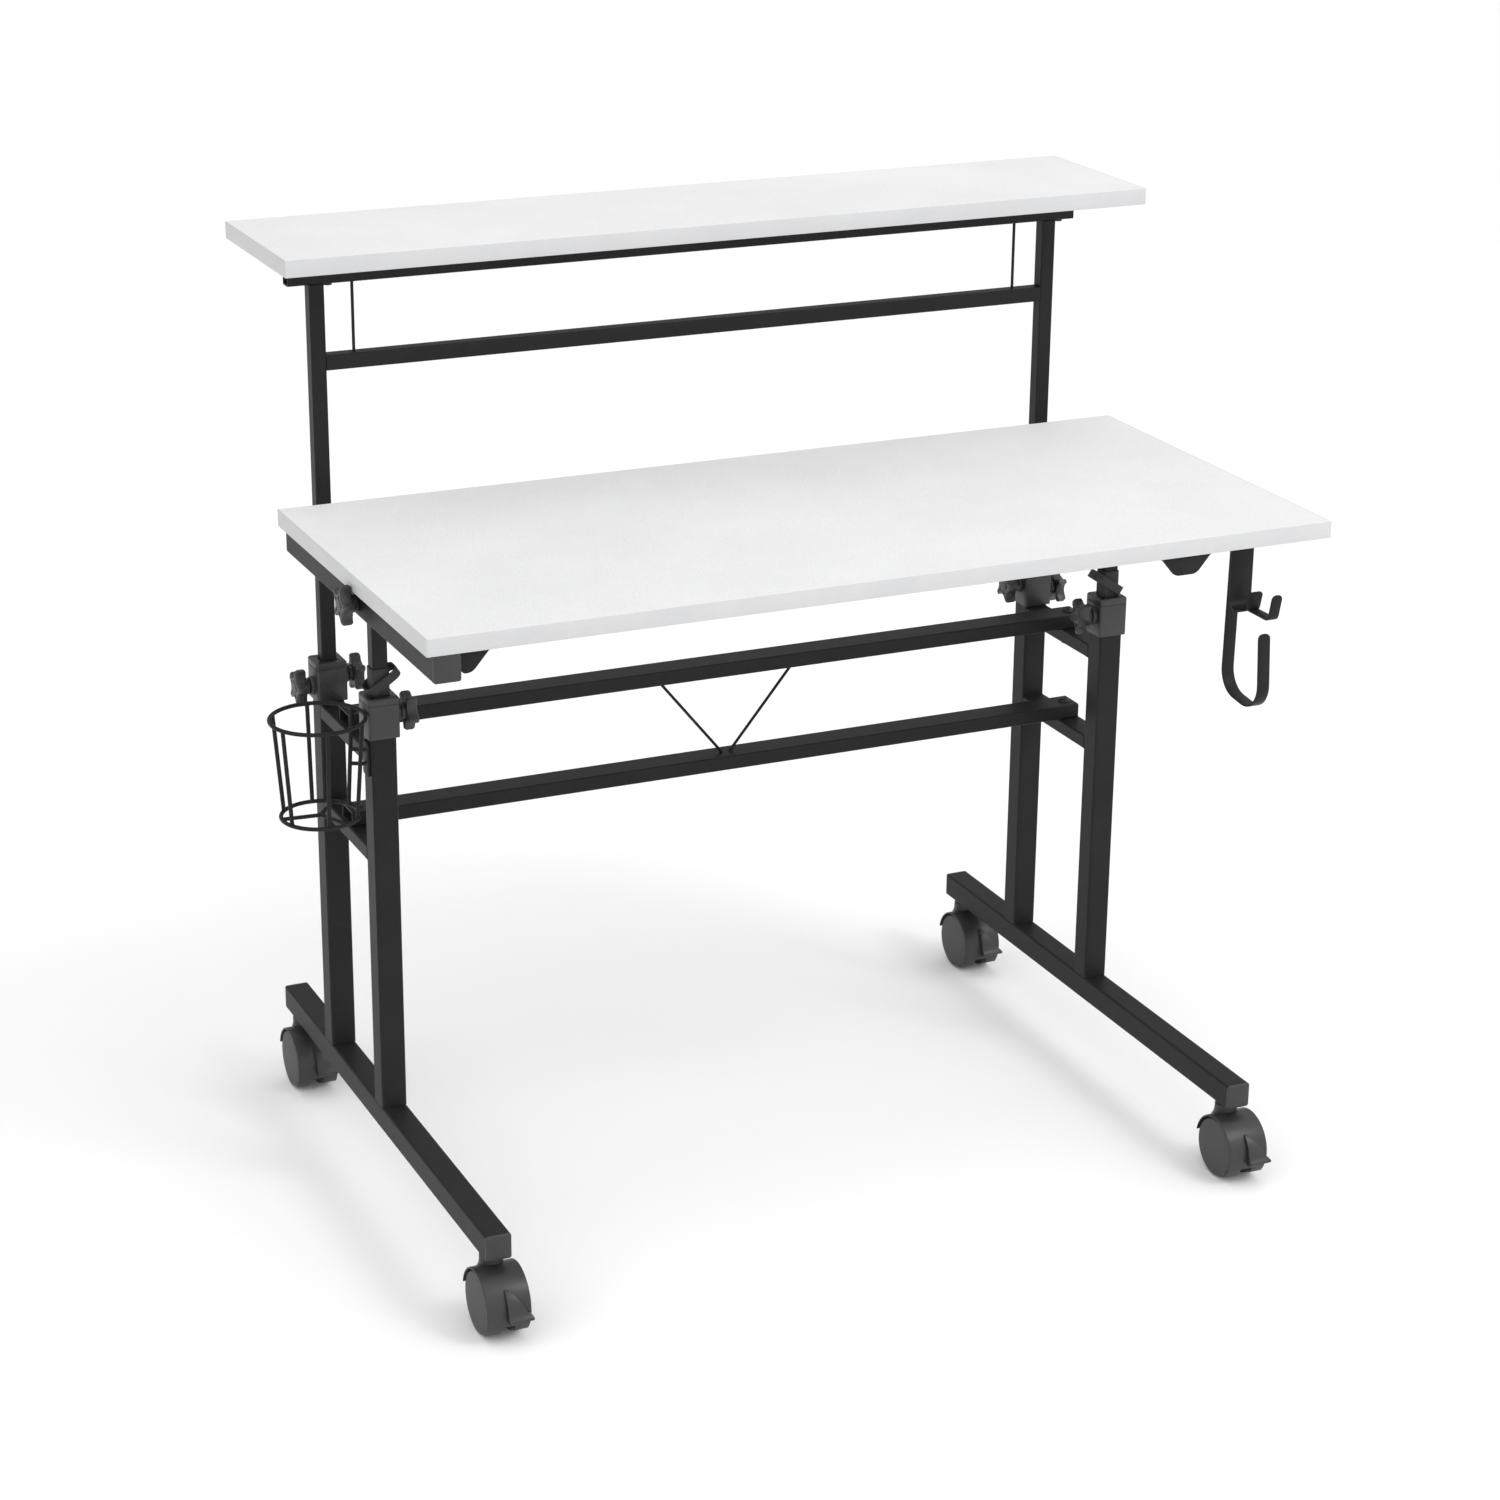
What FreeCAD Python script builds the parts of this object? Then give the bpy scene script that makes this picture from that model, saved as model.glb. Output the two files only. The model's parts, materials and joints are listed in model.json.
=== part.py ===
"""Mobile sit-stand desk with a raised monitor shelf.

The model stands on its four casters: the floor is z = 0, +X is to the right of the person at the
desk, +Y is away from that person. The origin is on the floor, in the middle of the object's box.
Positions are worked out from the middle of the desktop (x) and from its front edge (y), and the
two cells centre_shift and front_shift carry them to the origin. All lengths are in millimetres.
"""
import FreeCAD, Part
import math
import os

import Sketcher

V = FreeCAD.Vector
doc = FreeCAD.newDocument("mobile_sit_stand_desk")

# ---------------------------------------------------------------- driving dimensions
DIMENSIONS = [
    ("centre_shift", 19.65, "middle of the desktop, right of the origin"),
    ("front_shift", -293.4, "front edge of the desktop, from the origin"),
    ("desk_width", 900, "desktop and shelf, left to right"),
    ("desk_depth", 420, "desktop, front to back"),
    ("desk_height", 678, "top of the desktop above the floor"),
    ("board_thick", 16, "both boards"),
    ("band_thick", 1, "edge band round both boards"),
    ("shelf_depth", 190, "shelf, front to back"),
    ("shelf_front", 365, "front edge of the shelf"),
    ("shelf_height", 926, "top of the shelf above the floor"),
    ("tube_side", 25, "square tube of feet, legs and arms"),
    ("tube_wall", 1.5, "wall of every tube"),
    ("tube_corner", 2.2, "corner radius of the square tube"),
    ("inner_side", 15, "square tube that slides in a leg"),
    ("inner_corner", 1.5, "corner radius of the sliding tube"),
    ("bar_depth", 30, "rectangular tube of the crossbars, wide side"),
    ("bar_height", 15, "rectangular tube of the crossbars, narrow side"),
    ("bar_corner", 1.8, "corner radius of the rectangular tube"),
    ("leg_centre", 392, "legs, feet and posts, from the middle"),
    ("front_leg", 308, "centre line of the front legs"),
    ("rear_leg", 465, "centre line of the rear legs"),
    ("foot_front", 8, "front end of the feet"),
    ("foot_length", 606, "feet with their end plugs"),
    ("foot_under", 74, "underside of the feet above the floor"),
    ("plug_thick", 3, "plastic end plugs"),
    ("front_collar_top", 522, "top of the front collars"),
    ("rear_collar_top", 508, "top of the rear collars"),
    ("collar_side", 31, "collar, outside"),
    ("collar_height", 40, "collar, outside"),
    ("collar_lid", 5, "top wall of a collar"),
    ("rail_under", 451, "underside of the upper side rails"),
    ("rail_drop", 100, "from the upper rails and bar to the lower ones"),
    ("sliding_foot", 105, "lower end of the sliding tubes"),
    ("post_bar_under", 796.5, "underside of the bar between the posts"),
    ("shelf_bar_half", 420, "half the length of the bar under the shelf"),
    ("rod_radius", 1.5, "thin brace rods"),
    ("arm_inner", 419, "inner side of the desktop's arms"),
    ("pivot_back", 203, "tilt axis behind the desktop's front edge"),
    ("stud_radius", 3, "threaded studs of the knobs"),
    ("knob_radius", 19, "star knob over its lobes"),
    ("knob_thick", 11, "star knob's head"),
    ("wheel_radius", 31, "caster wheels"),
    ("wheel_width", 14.5, "caster wheels"),
    ("hood_radius", 33.2, "caster hood, outside"),
    ("hood_width", 43, "caster hood, outside"),
    ("web_width", 12, "wall between the two wheels of a caster"),
    ("caster_trail", 14, "wheel axis in front of the swivel axis"),
    ("caster_inset", 22, "swivel axis from the end of a foot"),
    ("stem_radius", 5, "caster stems"),
    ("axle_radius", 3, "caster axles"),
    ("cup_ring", 93, "cup holder's top ring, outside diameter"),
    ("cup_base", 78, "cup holder's lower ring, outside diameter"),
    ("cup_top", 510, "top of the cup holder's wire"),
    ("cup_depth", 96, "from the top ring to the lower ring"),
    ("wire", 4, "wire of the cup holder"),
]

sheet = doc.addObject("Spreadsheet::Sheet", "dims")
for row, (alias, value, note) in enumerate(DIMENSIONS, start=1):
    sheet.set(f"A{row}", note)
    sheet.set(f"B{row}", str(value))
    sheet.setAlias(f"B{row}", alias)
doc.recompute()


def cell(alias):
    """Value of one cell of the sheet."""
    return float(getattr(sheet, alias))


NODES = {}
SIGNS = (-1, 1)
SIDES = (("left", -1), ("right", 1))
FIT = 0.1                # radial clearance of turning and sliding fits
GAP = 0.3                # gap between pieces that lie side by side
SCREW_RADIUS = 2.0
SCREW_BITE = 11.0        # depth of a screw hole in a board
CLAMP_HUB = 4.0          # hub behind the head of a clamp knob
TILT_HUB = 6.4           # hub of a tilt knob, whose head clears the board's edge
STRAP_THICK = 2.0        # bent steel strap and pressed tabs
AXES = {"x": V(1, 0, 0), "y": V(0, 1, 0), "z": V(0, 0, 1)}


def node(label, obj):
    """Name a finished sub-part; the name is also its file's name."""
    obj.Label = label
    NODES[label] = obj
    return obj


# ---------------------------------------------------------------- shared places, as expressions
FRONT_SWIVEL = "(dims.foot_front + dims.caster_inset)"
REAR_SWIVEL = "(dims.foot_front + dims.foot_length - dims.caster_inset)"
BAR_DEPTH = "((dims.front_leg + dims.rear_leg) / 2)"
BOARD_UNDER = "(dims.desk_height - dims.board_thick)"
PIVOT_LEVEL = "(dims.desk_height - dims.board_thick - dims.tube_side / 2)"
SHELF_UNDER = "(dims.shelf_height - dims.board_thick)"
SHELF_BAR_UNDER = "(dims.shelf_height - dims.board_thick - dims.bar_depth)"
FRONT_STUD = "(dims.front_collar_top - dims.collar_height / 2)"
REAR_INNER_STUD = "(dims.rear_collar_top - dims.collar_height / 2 + 2)"
REAR_OUTER_STUD = "(dims.rear_collar_top - dims.collar_height / 2 - 6)"

# leg row: name, centre line, top of the collar, and its clamp studs as (outer 1 / inner -1, height)
LEG_ROWS = (
    ("front", "dims.front_leg", "dims.front_collar_top", ((-1, FRONT_STUD),)),
    ("rear", "dims.rear_leg", "dims.rear_collar_top", ((-1, REAR_INNER_STUD), (1, REAR_OUTER_STUD))),
)


# ---------------------------------------------------------------- small building blocks
def put(obj, x, y, z):
    """Place an object by expressions measured from the desktop's middle, its front edge and the floor."""
    obj.setExpression(".Placement.Base.x", f"{x} + dims.centre_shift")
    obj.setExpression(".Placement.Base.y", f"{y} + dims.front_shift")
    obj.setExpression(".Placement.Base.z", f"{z}")
    return obj


def box(sx, sy, sz, x, y, z):
    """A box centred on x and y that stands on z; every argument is an expression."""
    obj = doc.addObject("Part::Box", "block")
    obj.setExpression("Length", f"{sx}")
    obj.setExpression("Width", f"{sy}")
    obj.setExpression("Height", f"{sz}")
    return put(obj, f"{x} - ({sx}) / 2", f"{y} - ({sy}) / 2", z)


def rod(radius, length, x, y, z, axis="z"):
    """A cylinder that starts at a point and runs along an axis ("x", "y", "z" or a vector)."""
    obj = doc.addObject("Part::Cylinder", "rod")
    obj.setExpression("Radius", f"{radius}")
    obj.setExpression("Height", f"{length}")
    direction = AXES[axis] if isinstance(axis, str) else axis
    obj.Placement = FreeCAD.Placement(V(), FreeCAD.Rotation(V(0, 0, 1), direction))
    return put(obj, x, y, z)


def rounded(base, axis, radius):
    """Round the straight edges of a block that run along one axis, or all of them."""
    doc.recompute()
    chosen = []
    for number, edge in enumerate(base.Shape.Edges, start=1):
        run = edge.Vertexes[-1].Point - edge.Vertexes[0].Point
        if axis == "all" or run.cross(AXES[axis]).Length < 1e-6:
            chosen.append((number, radius, radius))
    obj = doc.addObject("Part::Fillet", "rounding")
    obj.Base = base
    obj.Edges = chosen
    return obj


def cut(base, *tools):
    """Take tools away from a base."""
    for tool in tools:
        obj = doc.addObject("Part::Cut", "cut")
        obj.Base = base
        obj.Tool = tool
        base = obj
    return base


def fuse(*parts):
    """Join parts into one solid."""
    obj = doc.addObject("Part::MultiFuse", "joined")
    obj.Shapes = list(parts)
    obj.Refine = True
    return obj


def group(*parts):
    """Keep separate solids together in one node."""
    obj = doc.addObject("Part::Compound", "group")
    obj.Links = list(parts)
    return obj


def shape(made):
    """An object that holds a shape worked out in code, carried to the origin like every other."""
    obj = doc.addObject("Part::Feature", "shape")
    obj.Shape = made
    shift = FreeCAD.Placement(V(cell("centre_shift"), cell("front_shift"), 0), FreeCAD.Rotation())
    obj.Placement = shift.multiply(made.Placement)
    return obj


def tube(axis, length, width, height, corner, x, y, z):
    """A rounded rectangular tube along an axis, centred on x and y, standing on z."""
    wall = "dims.tube_wall"
    hollow_width = f"{width} - 2 * {wall}"
    hollow_height = f"{height} - 2 * {wall}"
    if axis == "x":
        outside = box(length, width, height, x, y, z)
        inside = box(f"{length} + 2", hollow_width, hollow_height, x, y, f"{z} + {wall}")
    elif axis == "y":
        outside = box(width, length, height, x, y, z)
        inside = box(hollow_width, f"{length} + 2", hollow_height, x, y, f"{z} + {wall}")
    else:
        outside = box(width, height, length, x, y, z)
        inside = box(hollow_width, hollow_height, f"{length} + 2", x, y, f"{z} - 1")
    return cut(rounded(outside, axis, cell(corner)), inside)


def square_tube(axis, length, x, y, z):
    """The 25 mm tube of the frame."""
    return tube(axis, length, "dims.tube_side", "dims.tube_side", "tube_corner", x, y, z)


def plane(body, role):
    """One of a body's own origin planes."""
    return next(item for item in body.Origin.OriginFeatures if item.Role == role)


def sketch_on(body, role, name):
    """An empty sketch on one of a body's own origin planes."""
    sketch = body.newObject("Sketcher::SketchObject", name)
    sketch.AttachmentSupport = (plane(body, role), [""])
    sketch.MapMode = "FlatFace"
    return sketch


def closed_outline(sketch, points):
    """Straight lines through the points, joined end to end."""
    for start, end in zip(points, points[1:] + points[:1]):
        sketch.addGeometry(Part.LineSegment(V(*start, 0), V(*end, 0)), False)
    count = len(points)
    for line in range(count):
        sketch.addConstraint(Sketcher.Constraint("Coincident", line, 2, (line + 1) % count, 1))


# ---------------------------------------------------------------- feet, legs and rails
def leg_x(sign):
    return f"{sign} * dims.leg_centre"


def build_feet():
    """Two long feet, open tubes with a plastic plug in each end."""
    plugs = []
    for side, sign in SIDES:
        middle = "(dims.foot_front + dims.foot_length / 2)"
        foot = square_tube("y", "dims.foot_length - 2 * dims.plug_thick", leg_x(sign), middle,
                           "dims.foot_under")
        holes = []
        for swivel in (FRONT_SWIVEL, REAR_SWIVEL):
            holes.append(rod(f"dims.stem_radius + {FIT}", "8", leg_x(sign), swivel, "dims.foot_under - 4"))
        node(f"foot_{side}", cut(foot, *holes))
        for end in ("dims.foot_front + dims.plug_thick / 2",
                    "dims.foot_front + dims.foot_length - dims.plug_thick / 2"):
            plate = box("dims.tube_side", "dims.plug_thick", "dims.tube_side", leg_x(sign), end,
                        "dims.foot_under")
            plugs.append(rounded(plate, "y", cell("tube_corner")))
    node("foot_plugs", group(*plugs))


def build_legs():
    """Four upright legs; each one's top ends inside its collar, with holes for the clamp studs."""
    foot_top = "(dims.foot_under + dims.tube_side)"
    for name, depth, collar_top, studs in LEG_ROWS:
        for side, sign in SIDES:
            height = f"{collar_top} - dims.collar_lid - {foot_top}"
            leg = square_tube("z", height, leg_x(sign), depth, foot_top)
            holes = []
            for face, level in studs:
                outward = face * sign
                start = f"{leg_x(sign)} + {min(outward, 0)} * (dims.tube_side / 2 + 1)"
                holes.append(rod(f"dims.stud_radius + {FIT}", "dims.tube_side / 2 + 1", start, depth,
                                 level, "x"))
            node(f"{name}_leg_{side}", cut(leg, *holes))


def build_collars():
    """Plastic collars: a cap over the leg with a sleeve that guides the sliding tube."""
    for name, depth, collar_top, studs in LEG_ROWS:
        for side, sign in SIDES:
            under = f"({collar_top} - dims.collar_height)"
            block = rounded(box("dims.collar_side", "dims.collar_side", "dims.collar_height",
                                leg_x(sign), depth, under), "all", 1.2)
            bosses = []
            holes = []
            for face, level in studs:
                outward = face * sign
                side_face = f"{leg_x(sign)} + {outward} * (dims.collar_side / 2 - 1)"
                direction = V(outward, 0, 0)
                bosses.append(rod("9", "5", side_face, depth, level, direction))
                holes.append(rod(f"dims.stud_radius + {FIT}", "dims.collar_side / 2 + 10", leg_x(sign), depth,
                                 level, direction))
            body = fuse(block, *bosses)
            hollow = cut(
                box(f"dims.tube_side + {2 * FIT}", f"dims.tube_side + {2 * FIT}",
                    "dims.collar_height - dims.collar_lid + 1", leg_x(sign), depth, f"{under} - 1"),
                box("dims.tube_side - 2 * dims.tube_wall - 0.4", "dims.tube_side - 2 * dims.tube_wall - 0.4",
                    "dims.collar_height", leg_x(sign), depth, under))
            bore = box(f"dims.inner_side + {2 * FIT}", f"dims.inner_side + {2 * FIT}",
                       "dims.collar_height + 4", leg_x(sign), depth, f"{under} - 2")
            node(f"{name}_collar_{side}", cut(body, hollow, bore, *holes))


def build_rails():
    """Side rails between the legs of each side, and the crossbars that are bolted on top of them."""
    rails = []
    between = "dims.rear_leg - dims.front_leg - dims.tube_side"
    for drop in (0, 1):
        under = f"(dims.rail_under - {drop} * dims.rail_drop)"
        for sign in SIGNS:
            rail = tube("y", between, "dims.tube_side", "dims.bar_height", "bar_corner",
                        leg_x(sign), BAR_DEPTH, under)
            rails.append(cut(rail, rod(f"dims.stud_radius + {FIT}", "dims.bar_height + 4", leg_x(sign),
                                       BAR_DEPTH, f"{under} - 2")))
        bar = tube("x", "2 * dims.leg_centre + dims.tube_side - 6", "dims.bar_depth", "dims.bar_height",
                   "bar_corner", "0", BAR_DEPTH, f"({under} + dims.bar_height)")
        holes = []
        for sign in SIGNS:
            holes.append(rod(f"dims.stud_radius + {FIT}", "dims.bar_height + 4", leg_x(sign), BAR_DEPTH,
                             f"{under} + dims.bar_height - 2"))
        node("upper_crossbar" if drop == 0 else "lower_crossbar", cut(bar, *holes))
    node("side_rails", group(*rails))


def build_frame_bolts():
    """Four bolts through crossbar and rail, with a domed head above and a nut below."""
    bolts = []
    for drop in (0, 1):
        under = f"(dims.rail_under - {drop} * dims.rail_drop)"
        for sign in SIGNS:
            shank = rod("dims.stud_radius", "2 * dims.bar_height + 8", leg_x(sign), BAR_DEPTH, f"{under} - 6")
            head = rod("6", "3", leg_x(sign), BAR_DEPTH, f"{under} + 2 * dims.bar_height")
            nut = rod("5.5", "5", leg_x(sign), BAR_DEPTH, f"{under} - 5")
            bolts.append(fuse(shank, head, nut))
    node("frame_bolts", group(*bolts))


def slanted_rod(radius, start, end):
    """A round rod between two points, as a plain shape."""
    run = end - start
    return Part.makeCylinder(radius, run.Length, start, run)


def build_braces():
    """Two thin rods in a V between the crossbars, their ends cut flush with the bars."""
    depth = (cell("front_leg") + cell("rear_leg")) / 2
    top = cell("rail_under") + cell("bar_height")
    bottom = top - cell("rail_drop") + cell("bar_height")
    spread_top, spread_bottom = 74.0, 4.5
    room = Part.makeBox(400, 40, top - bottom, V(-200, depth - 20, bottom))
    rods = []
    for sign in SIGNS:
        upper = V(sign * spread_top, depth, top)
        lower = V(sign * spread_bottom, depth, bottom)
        run = (upper - lower).normalize()
        made = slanted_rod(cell("rod_radius"), lower - run * 6, upper + run * 6)
        rods.append(shape(made.common(room).Solids[0]))
    node("brace_rods", group(*rods))


# ---------------------------------------------------------------- cup holder
def build_cup_holder():
    """A wire basket outside the left front leg, with a flat tab that is screwed to the leg."""
    half = cell("wire") / 2
    x = -(cell("leg_centre") + cell("collar_side") / 2 + 0.4 + cell("cup_ring") / 2)
    y = cell("front_leg") - 6
    top = cell("cup_top") - half
    bottom = top - cell("cup_depth")
    top_radius = cell("cup_ring") / 2 - half
    base_radius = cell("cup_base") / 2 - half
    inset = 1.1
    basket = Part.makeTorus(top_radius, half, V(x, y, top))
    for turn in range(6):
        angle = math.radians(25 + 60 * turn)
        out = V(math.cos(angle), math.sin(angle), 0)
        upper = V(x, y, top - 0.4) + out * (top_radius - inset)
        lower = V(x, y, bottom + 0.4) + out * (base_radius - inset)
        basket = basket.fuse(slanted_rod(half, lower, upper))
    basket = basket.fuse(Part.makeTorus(base_radius, half, V(x, y, bottom)))
    centre = V(x, y, bottom - 0.3)
    for turn in range(3):
        angle = math.radians(55 + 120 * turn)
        out = V(math.cos(angle), math.sin(angle), 0)
        basket = basket.fuse(slanted_rod(half - 0.1, centre - out, centre + out * (base_radius - 0.5)))
    tab_face = -(cell("leg_centre") + cell("tube_side") / 2)
    tab_top = cell("front_collar_top") - cell("collar_height") - 5
    tab = Part.makeBox(2.5, 16, 34, V(tab_face - 2.5, y - 2, tab_top - 34))
    basket = basket.fuse(tab)
    angle = math.radians(25)
    out = V(math.cos(angle), math.sin(angle), 0)
    for level in (tab_top - 10, tab_top - 24):
        reach = base_radius - inset + (level - bottom) / cell("cup_depth") * (top_radius - base_radius)
        stay_start = V(x, y, level) + out * reach
        stay_end = V(tab_face - 1, stay_start.y - 7, level)
        basket = basket.fuse(slanted_rod(half - 0.1, stay_start, stay_end))
    node("cup_holder", shape(basket.Solids[0]))


# ---------------------------------------------------------------- sliding tubes and tilt carriers
def build_lift():
    """Two sliding tubes, each with a carrier bar that reaches forward to the tilt axis."""
    for side, sign in SIDES:
        length = f"{BOARD_UNDER} - 1 - dims.sliding_foot"
        lift = tube("z", length, "dims.inner_side", "dims.inner_side", "inner_corner", leg_x(sign),
                    "dims.front_leg", "dims.sliding_foot")
        node(f"lift_tube_{side}", lift)
        thick = 8
        bar_x = f"{sign} * (dims.leg_centre + dims.inner_side / 2 + {thick / 2})"
        back = "(dims.front_leg + dims.inner_side / 2)"
        bar = box(f"{thick}", f"{back} - dims.pivot_back", "dims.tube_side - 2", bar_x,
                  f"({back} + dims.pivot_back) / 2", f"{BOARD_UNDER} - dims.tube_side + 1")
        nose = rod("dims.tube_side / 2 - 1", f"{thick}", f"{bar_x} - {thick / 2}", "dims.pivot_back",
                   PIVOT_LEVEL, "x")
        bush_start = f"{sign} * (dims.leg_centre + dims.inner_side / 2 + {thick - 1})"
        bush = rod("9", f"dims.arm_inner - dims.leg_centre - dims.inner_side / 2 - {thick - 1} - {GAP}",
                   bush_start, "dims.pivot_back", PIVOT_LEVEL, V(sign, 0, 0))
        hole = rod(f"dims.stud_radius + {FIT}", "60", f"{sign} * dims.leg_centre", "dims.pivot_back",
                   PIVOT_LEVEL, V(sign, 0, 0))
        node(f"tilt_carrier_{side}", cut(fuse(bar, nose, bush), hole))


def rounded_block(width, depth, height, radius):
    """A block centred on the origin, its upright edges rounded."""
    block = Part.makeBox(width, depth, height, V(-width / 2, -depth / 2, -height / 2))
    return block.makeFillet(radius, [edge for edge in block.Edges if abs(edge.tangentAt(0).z) > 0.9])


def build_stop_straps():
    """A loose strap round each sliding tube, leaning over and resting on the collar."""
    width, depth, height = 37.0, 24.0, 9.0
    thick = 1.7
    corner = 8.0
    lean = 34
    inward = 2.5
    straps = []
    for sign in SIGNS:
        loop = rounded_block(width, depth, height, corner).cut(
            rounded_block(width - 2 * thick, depth - 2 * thick, height + 3, corner - thick))
        loop.rotate(V(), V(0, 1, 0), sign * lean)
        rise = cell("front_collar_top") - loop.optimalBoundingBox(False).ZMin
        loop.translate(V(sign * (cell("leg_centre") - inward), cell("front_leg"), rise))
        straps.append(shape(loop))
    node("stop_straps", group(*straps))


# ---------------------------------------------------------------- boards
def board_body(label, depth_cell, screw_holes, middle, under):
    """A board with screw holes in its underside: a padded rectangle and blind holes."""
    body = doc.addObject("PartDesign::Body", f"{label}_body")
    outline = sketch_on(body, "XY_Plane", f"{label}_outline")
    half_width = cell("desk_width") / 2 - cell("band_thick")
    half_depth = cell(depth_cell) / 2 - cell("band_thick")
    closed_outline(outline, [(-half_width, -half_depth), (half_width, -half_depth),
                             (half_width, half_depth), (-half_width, half_depth)])
    for line in (0, 2):
        outline.addConstraint(Sketcher.Constraint("Horizontal", line))
    for line in (1, 3):
        outline.addConstraint(Sketcher.Constraint("Vertical", line))
    outline.addConstraint(Sketcher.Constraint("Symmetric", 0, 1, 1, 2, -1, 1))
    width_rule = outline.addConstraint(Sketcher.Constraint("DistanceX", 0, 1, 0, 2, 2 * half_width))
    outline.setExpression(f"Constraints[{width_rule}]", "dims.desk_width - 2 * dims.band_thick")
    depth_rule = outline.addConstraint(Sketcher.Constraint("DistanceY", 1, 1, 1, 2, 2 * half_depth))
    outline.setExpression(f"Constraints[{depth_rule}]", f"dims.{depth_cell} - 2 * dims.band_thick")
    pad = body.newObject("PartDesign::Pad", f"{label}_pad")
    pad.Profile = outline
    pad.setExpression("Length", "dims.board_thick")
    doc.recompute()
    drilling = sketch_on(body, "XY_Plane", f"{label}_drilling")
    for hole_x, hole_y in screw_holes:
        drilling.addGeometry(Part.Circle(V(hole_x, hole_y, 0), V(0, 0, 1), SCREW_RADIUS + FIT), False)
    pocket = body.newObject("PartDesign::Pocket", f"{label}_holes")
    pocket.Profile = drilling
    pocket.Length = SCREW_BITE
    pocket.Reversed = True
    doc.recompute()
    put(body, "0", middle, under)
    return node(label, body)


def band(label, width, depth, x, y, z):
    """The edge band round a board."""
    outer = box(width, depth, "dims.board_thick", x, y, z)
    eased = rounded(outer, "z", 0.9)
    hollow = box(f"{width} - 2 * dims.band_thick", f"{depth} - 2 * dims.band_thick", "dims.board_thick + 2",
                 x, y, f"{z} - 1")
    return node(label, cut(eased, hollow))


def screw(x, y, head_z, shank_length):
    """A pan-head screw that points up: its head is below head_z."""
    shank = rod(f"{SCREW_RADIUS}", f"{shank_length} + 1", x, y, f"{head_z} - 1")
    head = rod("4.2", "2.2", x, y, f"{head_z} - 2.2")
    return fuse(shank, head)


RIGHT_ARM_START = 76.0
ARM_SCREWS = {"left": (40.0, 250.0, 390.0), "right": (110.0, 250.0, 390.0)}


def arm_x(sign):
    return f"{sign} * (dims.arm_inner + dims.tube_side / 2)"


def build_desktop():
    """Desktop board, its edge band, the two tilting arms and everything screwed to them."""
    centre = cell("arm_inner") + cell("tube_side") / 2
    half_depth = cell("desk_depth") / 2
    holes = []
    for side, sign in SIDES:
        for at in ARM_SCREWS[side]:
            holes.append((sign * centre, at - half_depth))
    board_body("desktop_board", "desk_depth", holes, "dims.desk_depth / 2", BOARD_UNDER)
    band("desktop_edge_band", "dims.desk_width", "dims.desk_depth", "0", "dims.desk_depth / 2", BOARD_UNDER)

    arm_under = f"({BOARD_UNDER} - dims.tube_side)"
    caps = []
    screws = []
    for side, sign in SIDES:
        start = "dims.plug_thick" if side == "left" else f"{RIGHT_ARM_START} + dims.plug_thick"
        end = "(dims.desk_depth - 8)"
        arm = square_tube("y", f"{end} - ({start})", arm_x(sign), f"(({start}) + {end}) / 2", arm_under)
        holes = [rod(f"dims.stud_radius + {FIT}", "dims.tube_side + 4",
                     f"{arm_x(sign)} - dims.tube_side / 2 - 2", "dims.pivot_back", PIVOT_LEVEL, "x")]
        for at in ARM_SCREWS[side]:
            holes.append(rod(f"{SCREW_RADIUS + FIT}", "dims.tube_side + 4", arm_x(sign), f"{at}",
                             f"{arm_under} - 2"))
            screws.append(screw(arm_x(sign), f"{at}", arm_under, f"dims.tube_side + {SCREW_BITE - 1}"))
        node(f"tilt_arm_{side}", cut(arm, *holes))
        for end_y in (f"{start} - dims.plug_thick / 2", f"{end} + dims.plug_thick / 2"):
            plate = box("dims.tube_side", "dims.plug_thick", "dims.tube_side", arm_x(sign), end_y, arm_under)
            caps.append(rounded(plate, "y", cell("tube_corner")))
    node("arm_end_caps", group(*caps))
    node("desktop_screws", group(*screws))


def build_front_tabs():
    """Two pressed tabs under the front edge: one closes the left arm's corner, one stands alone."""
    under = cell("desk_height") - cell("board_thick")
    setback = 4.0
    flange_depth = 22.0
    tabs = []
    for left, right, slope_left, slope_right, drop in (
            (-cell("arm_inner") + GAP, -391.0, 0.0, 17.0, 20.0),
            (267.0, 322.0, 16.0, 16.0, 19.0)):
        outline = [V(left, setback, under), V(right, setback, under),
                   V(right - slope_right, setback, under - drop), V(left + slope_left, setback, under - drop)]
        face = Part.Face(Part.makePolygon(outline + outline[:1]))
        front = face.extrude(V(0, STRAP_THICK, 0))
        flange = Part.makeBox(right - left, flange_depth, STRAP_THICK, V(left, setback, under - STRAP_THICK))
        tabs.append(shape(front.fuse(flange).removeSplitter()))
    node("front_tabs", group(*tabs))


def bent_side(points, radii, shift):
    """One face of a bent strap in the YZ plane: its line, moved sideways by shift, as joined edges."""
    edges = []
    first = V(0, *points[0])
    ahead = (V(0, *points[1]) - first).normalize()
    here = first + V(0, -ahead.z, ahead.y) * shift
    for before, corner, after, radius in zip(points, points[1:], points[2:], radii):
        corner_at = V(0, *corner)
        back = (V(0, *before) - corner_at).normalize()
        ahead = (V(0, *after) - corner_at).normalize()
        half_angle = back.getAngle(ahead) / 2
        centre = corner_at + (back + ahead).normalize() * (radius / math.sin(half_angle))
        reach = radius / math.tan(half_angle)
        left_of_back = V(0, back.z, -back.y)
        turn = 1 if (centre - corner_at).dot(left_of_back) > 0 else -1
        arc = []
        for place in (corner_at + back * reach, corner_at, corner_at + ahead * reach):
            arc.append(centre + (place - centre).normalize() * (radius - turn * shift))
        edges.append(Part.makeLine(here, arc[0]))
        edges.append(Part.Arc(*arc).toShape())
        here = arc[2]
    last = V(0, *points[-1]) + V(0, -ahead.z, ahead.y) * shift
    edges.append(Part.makeLine(here, last))
    return edges, last


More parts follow.
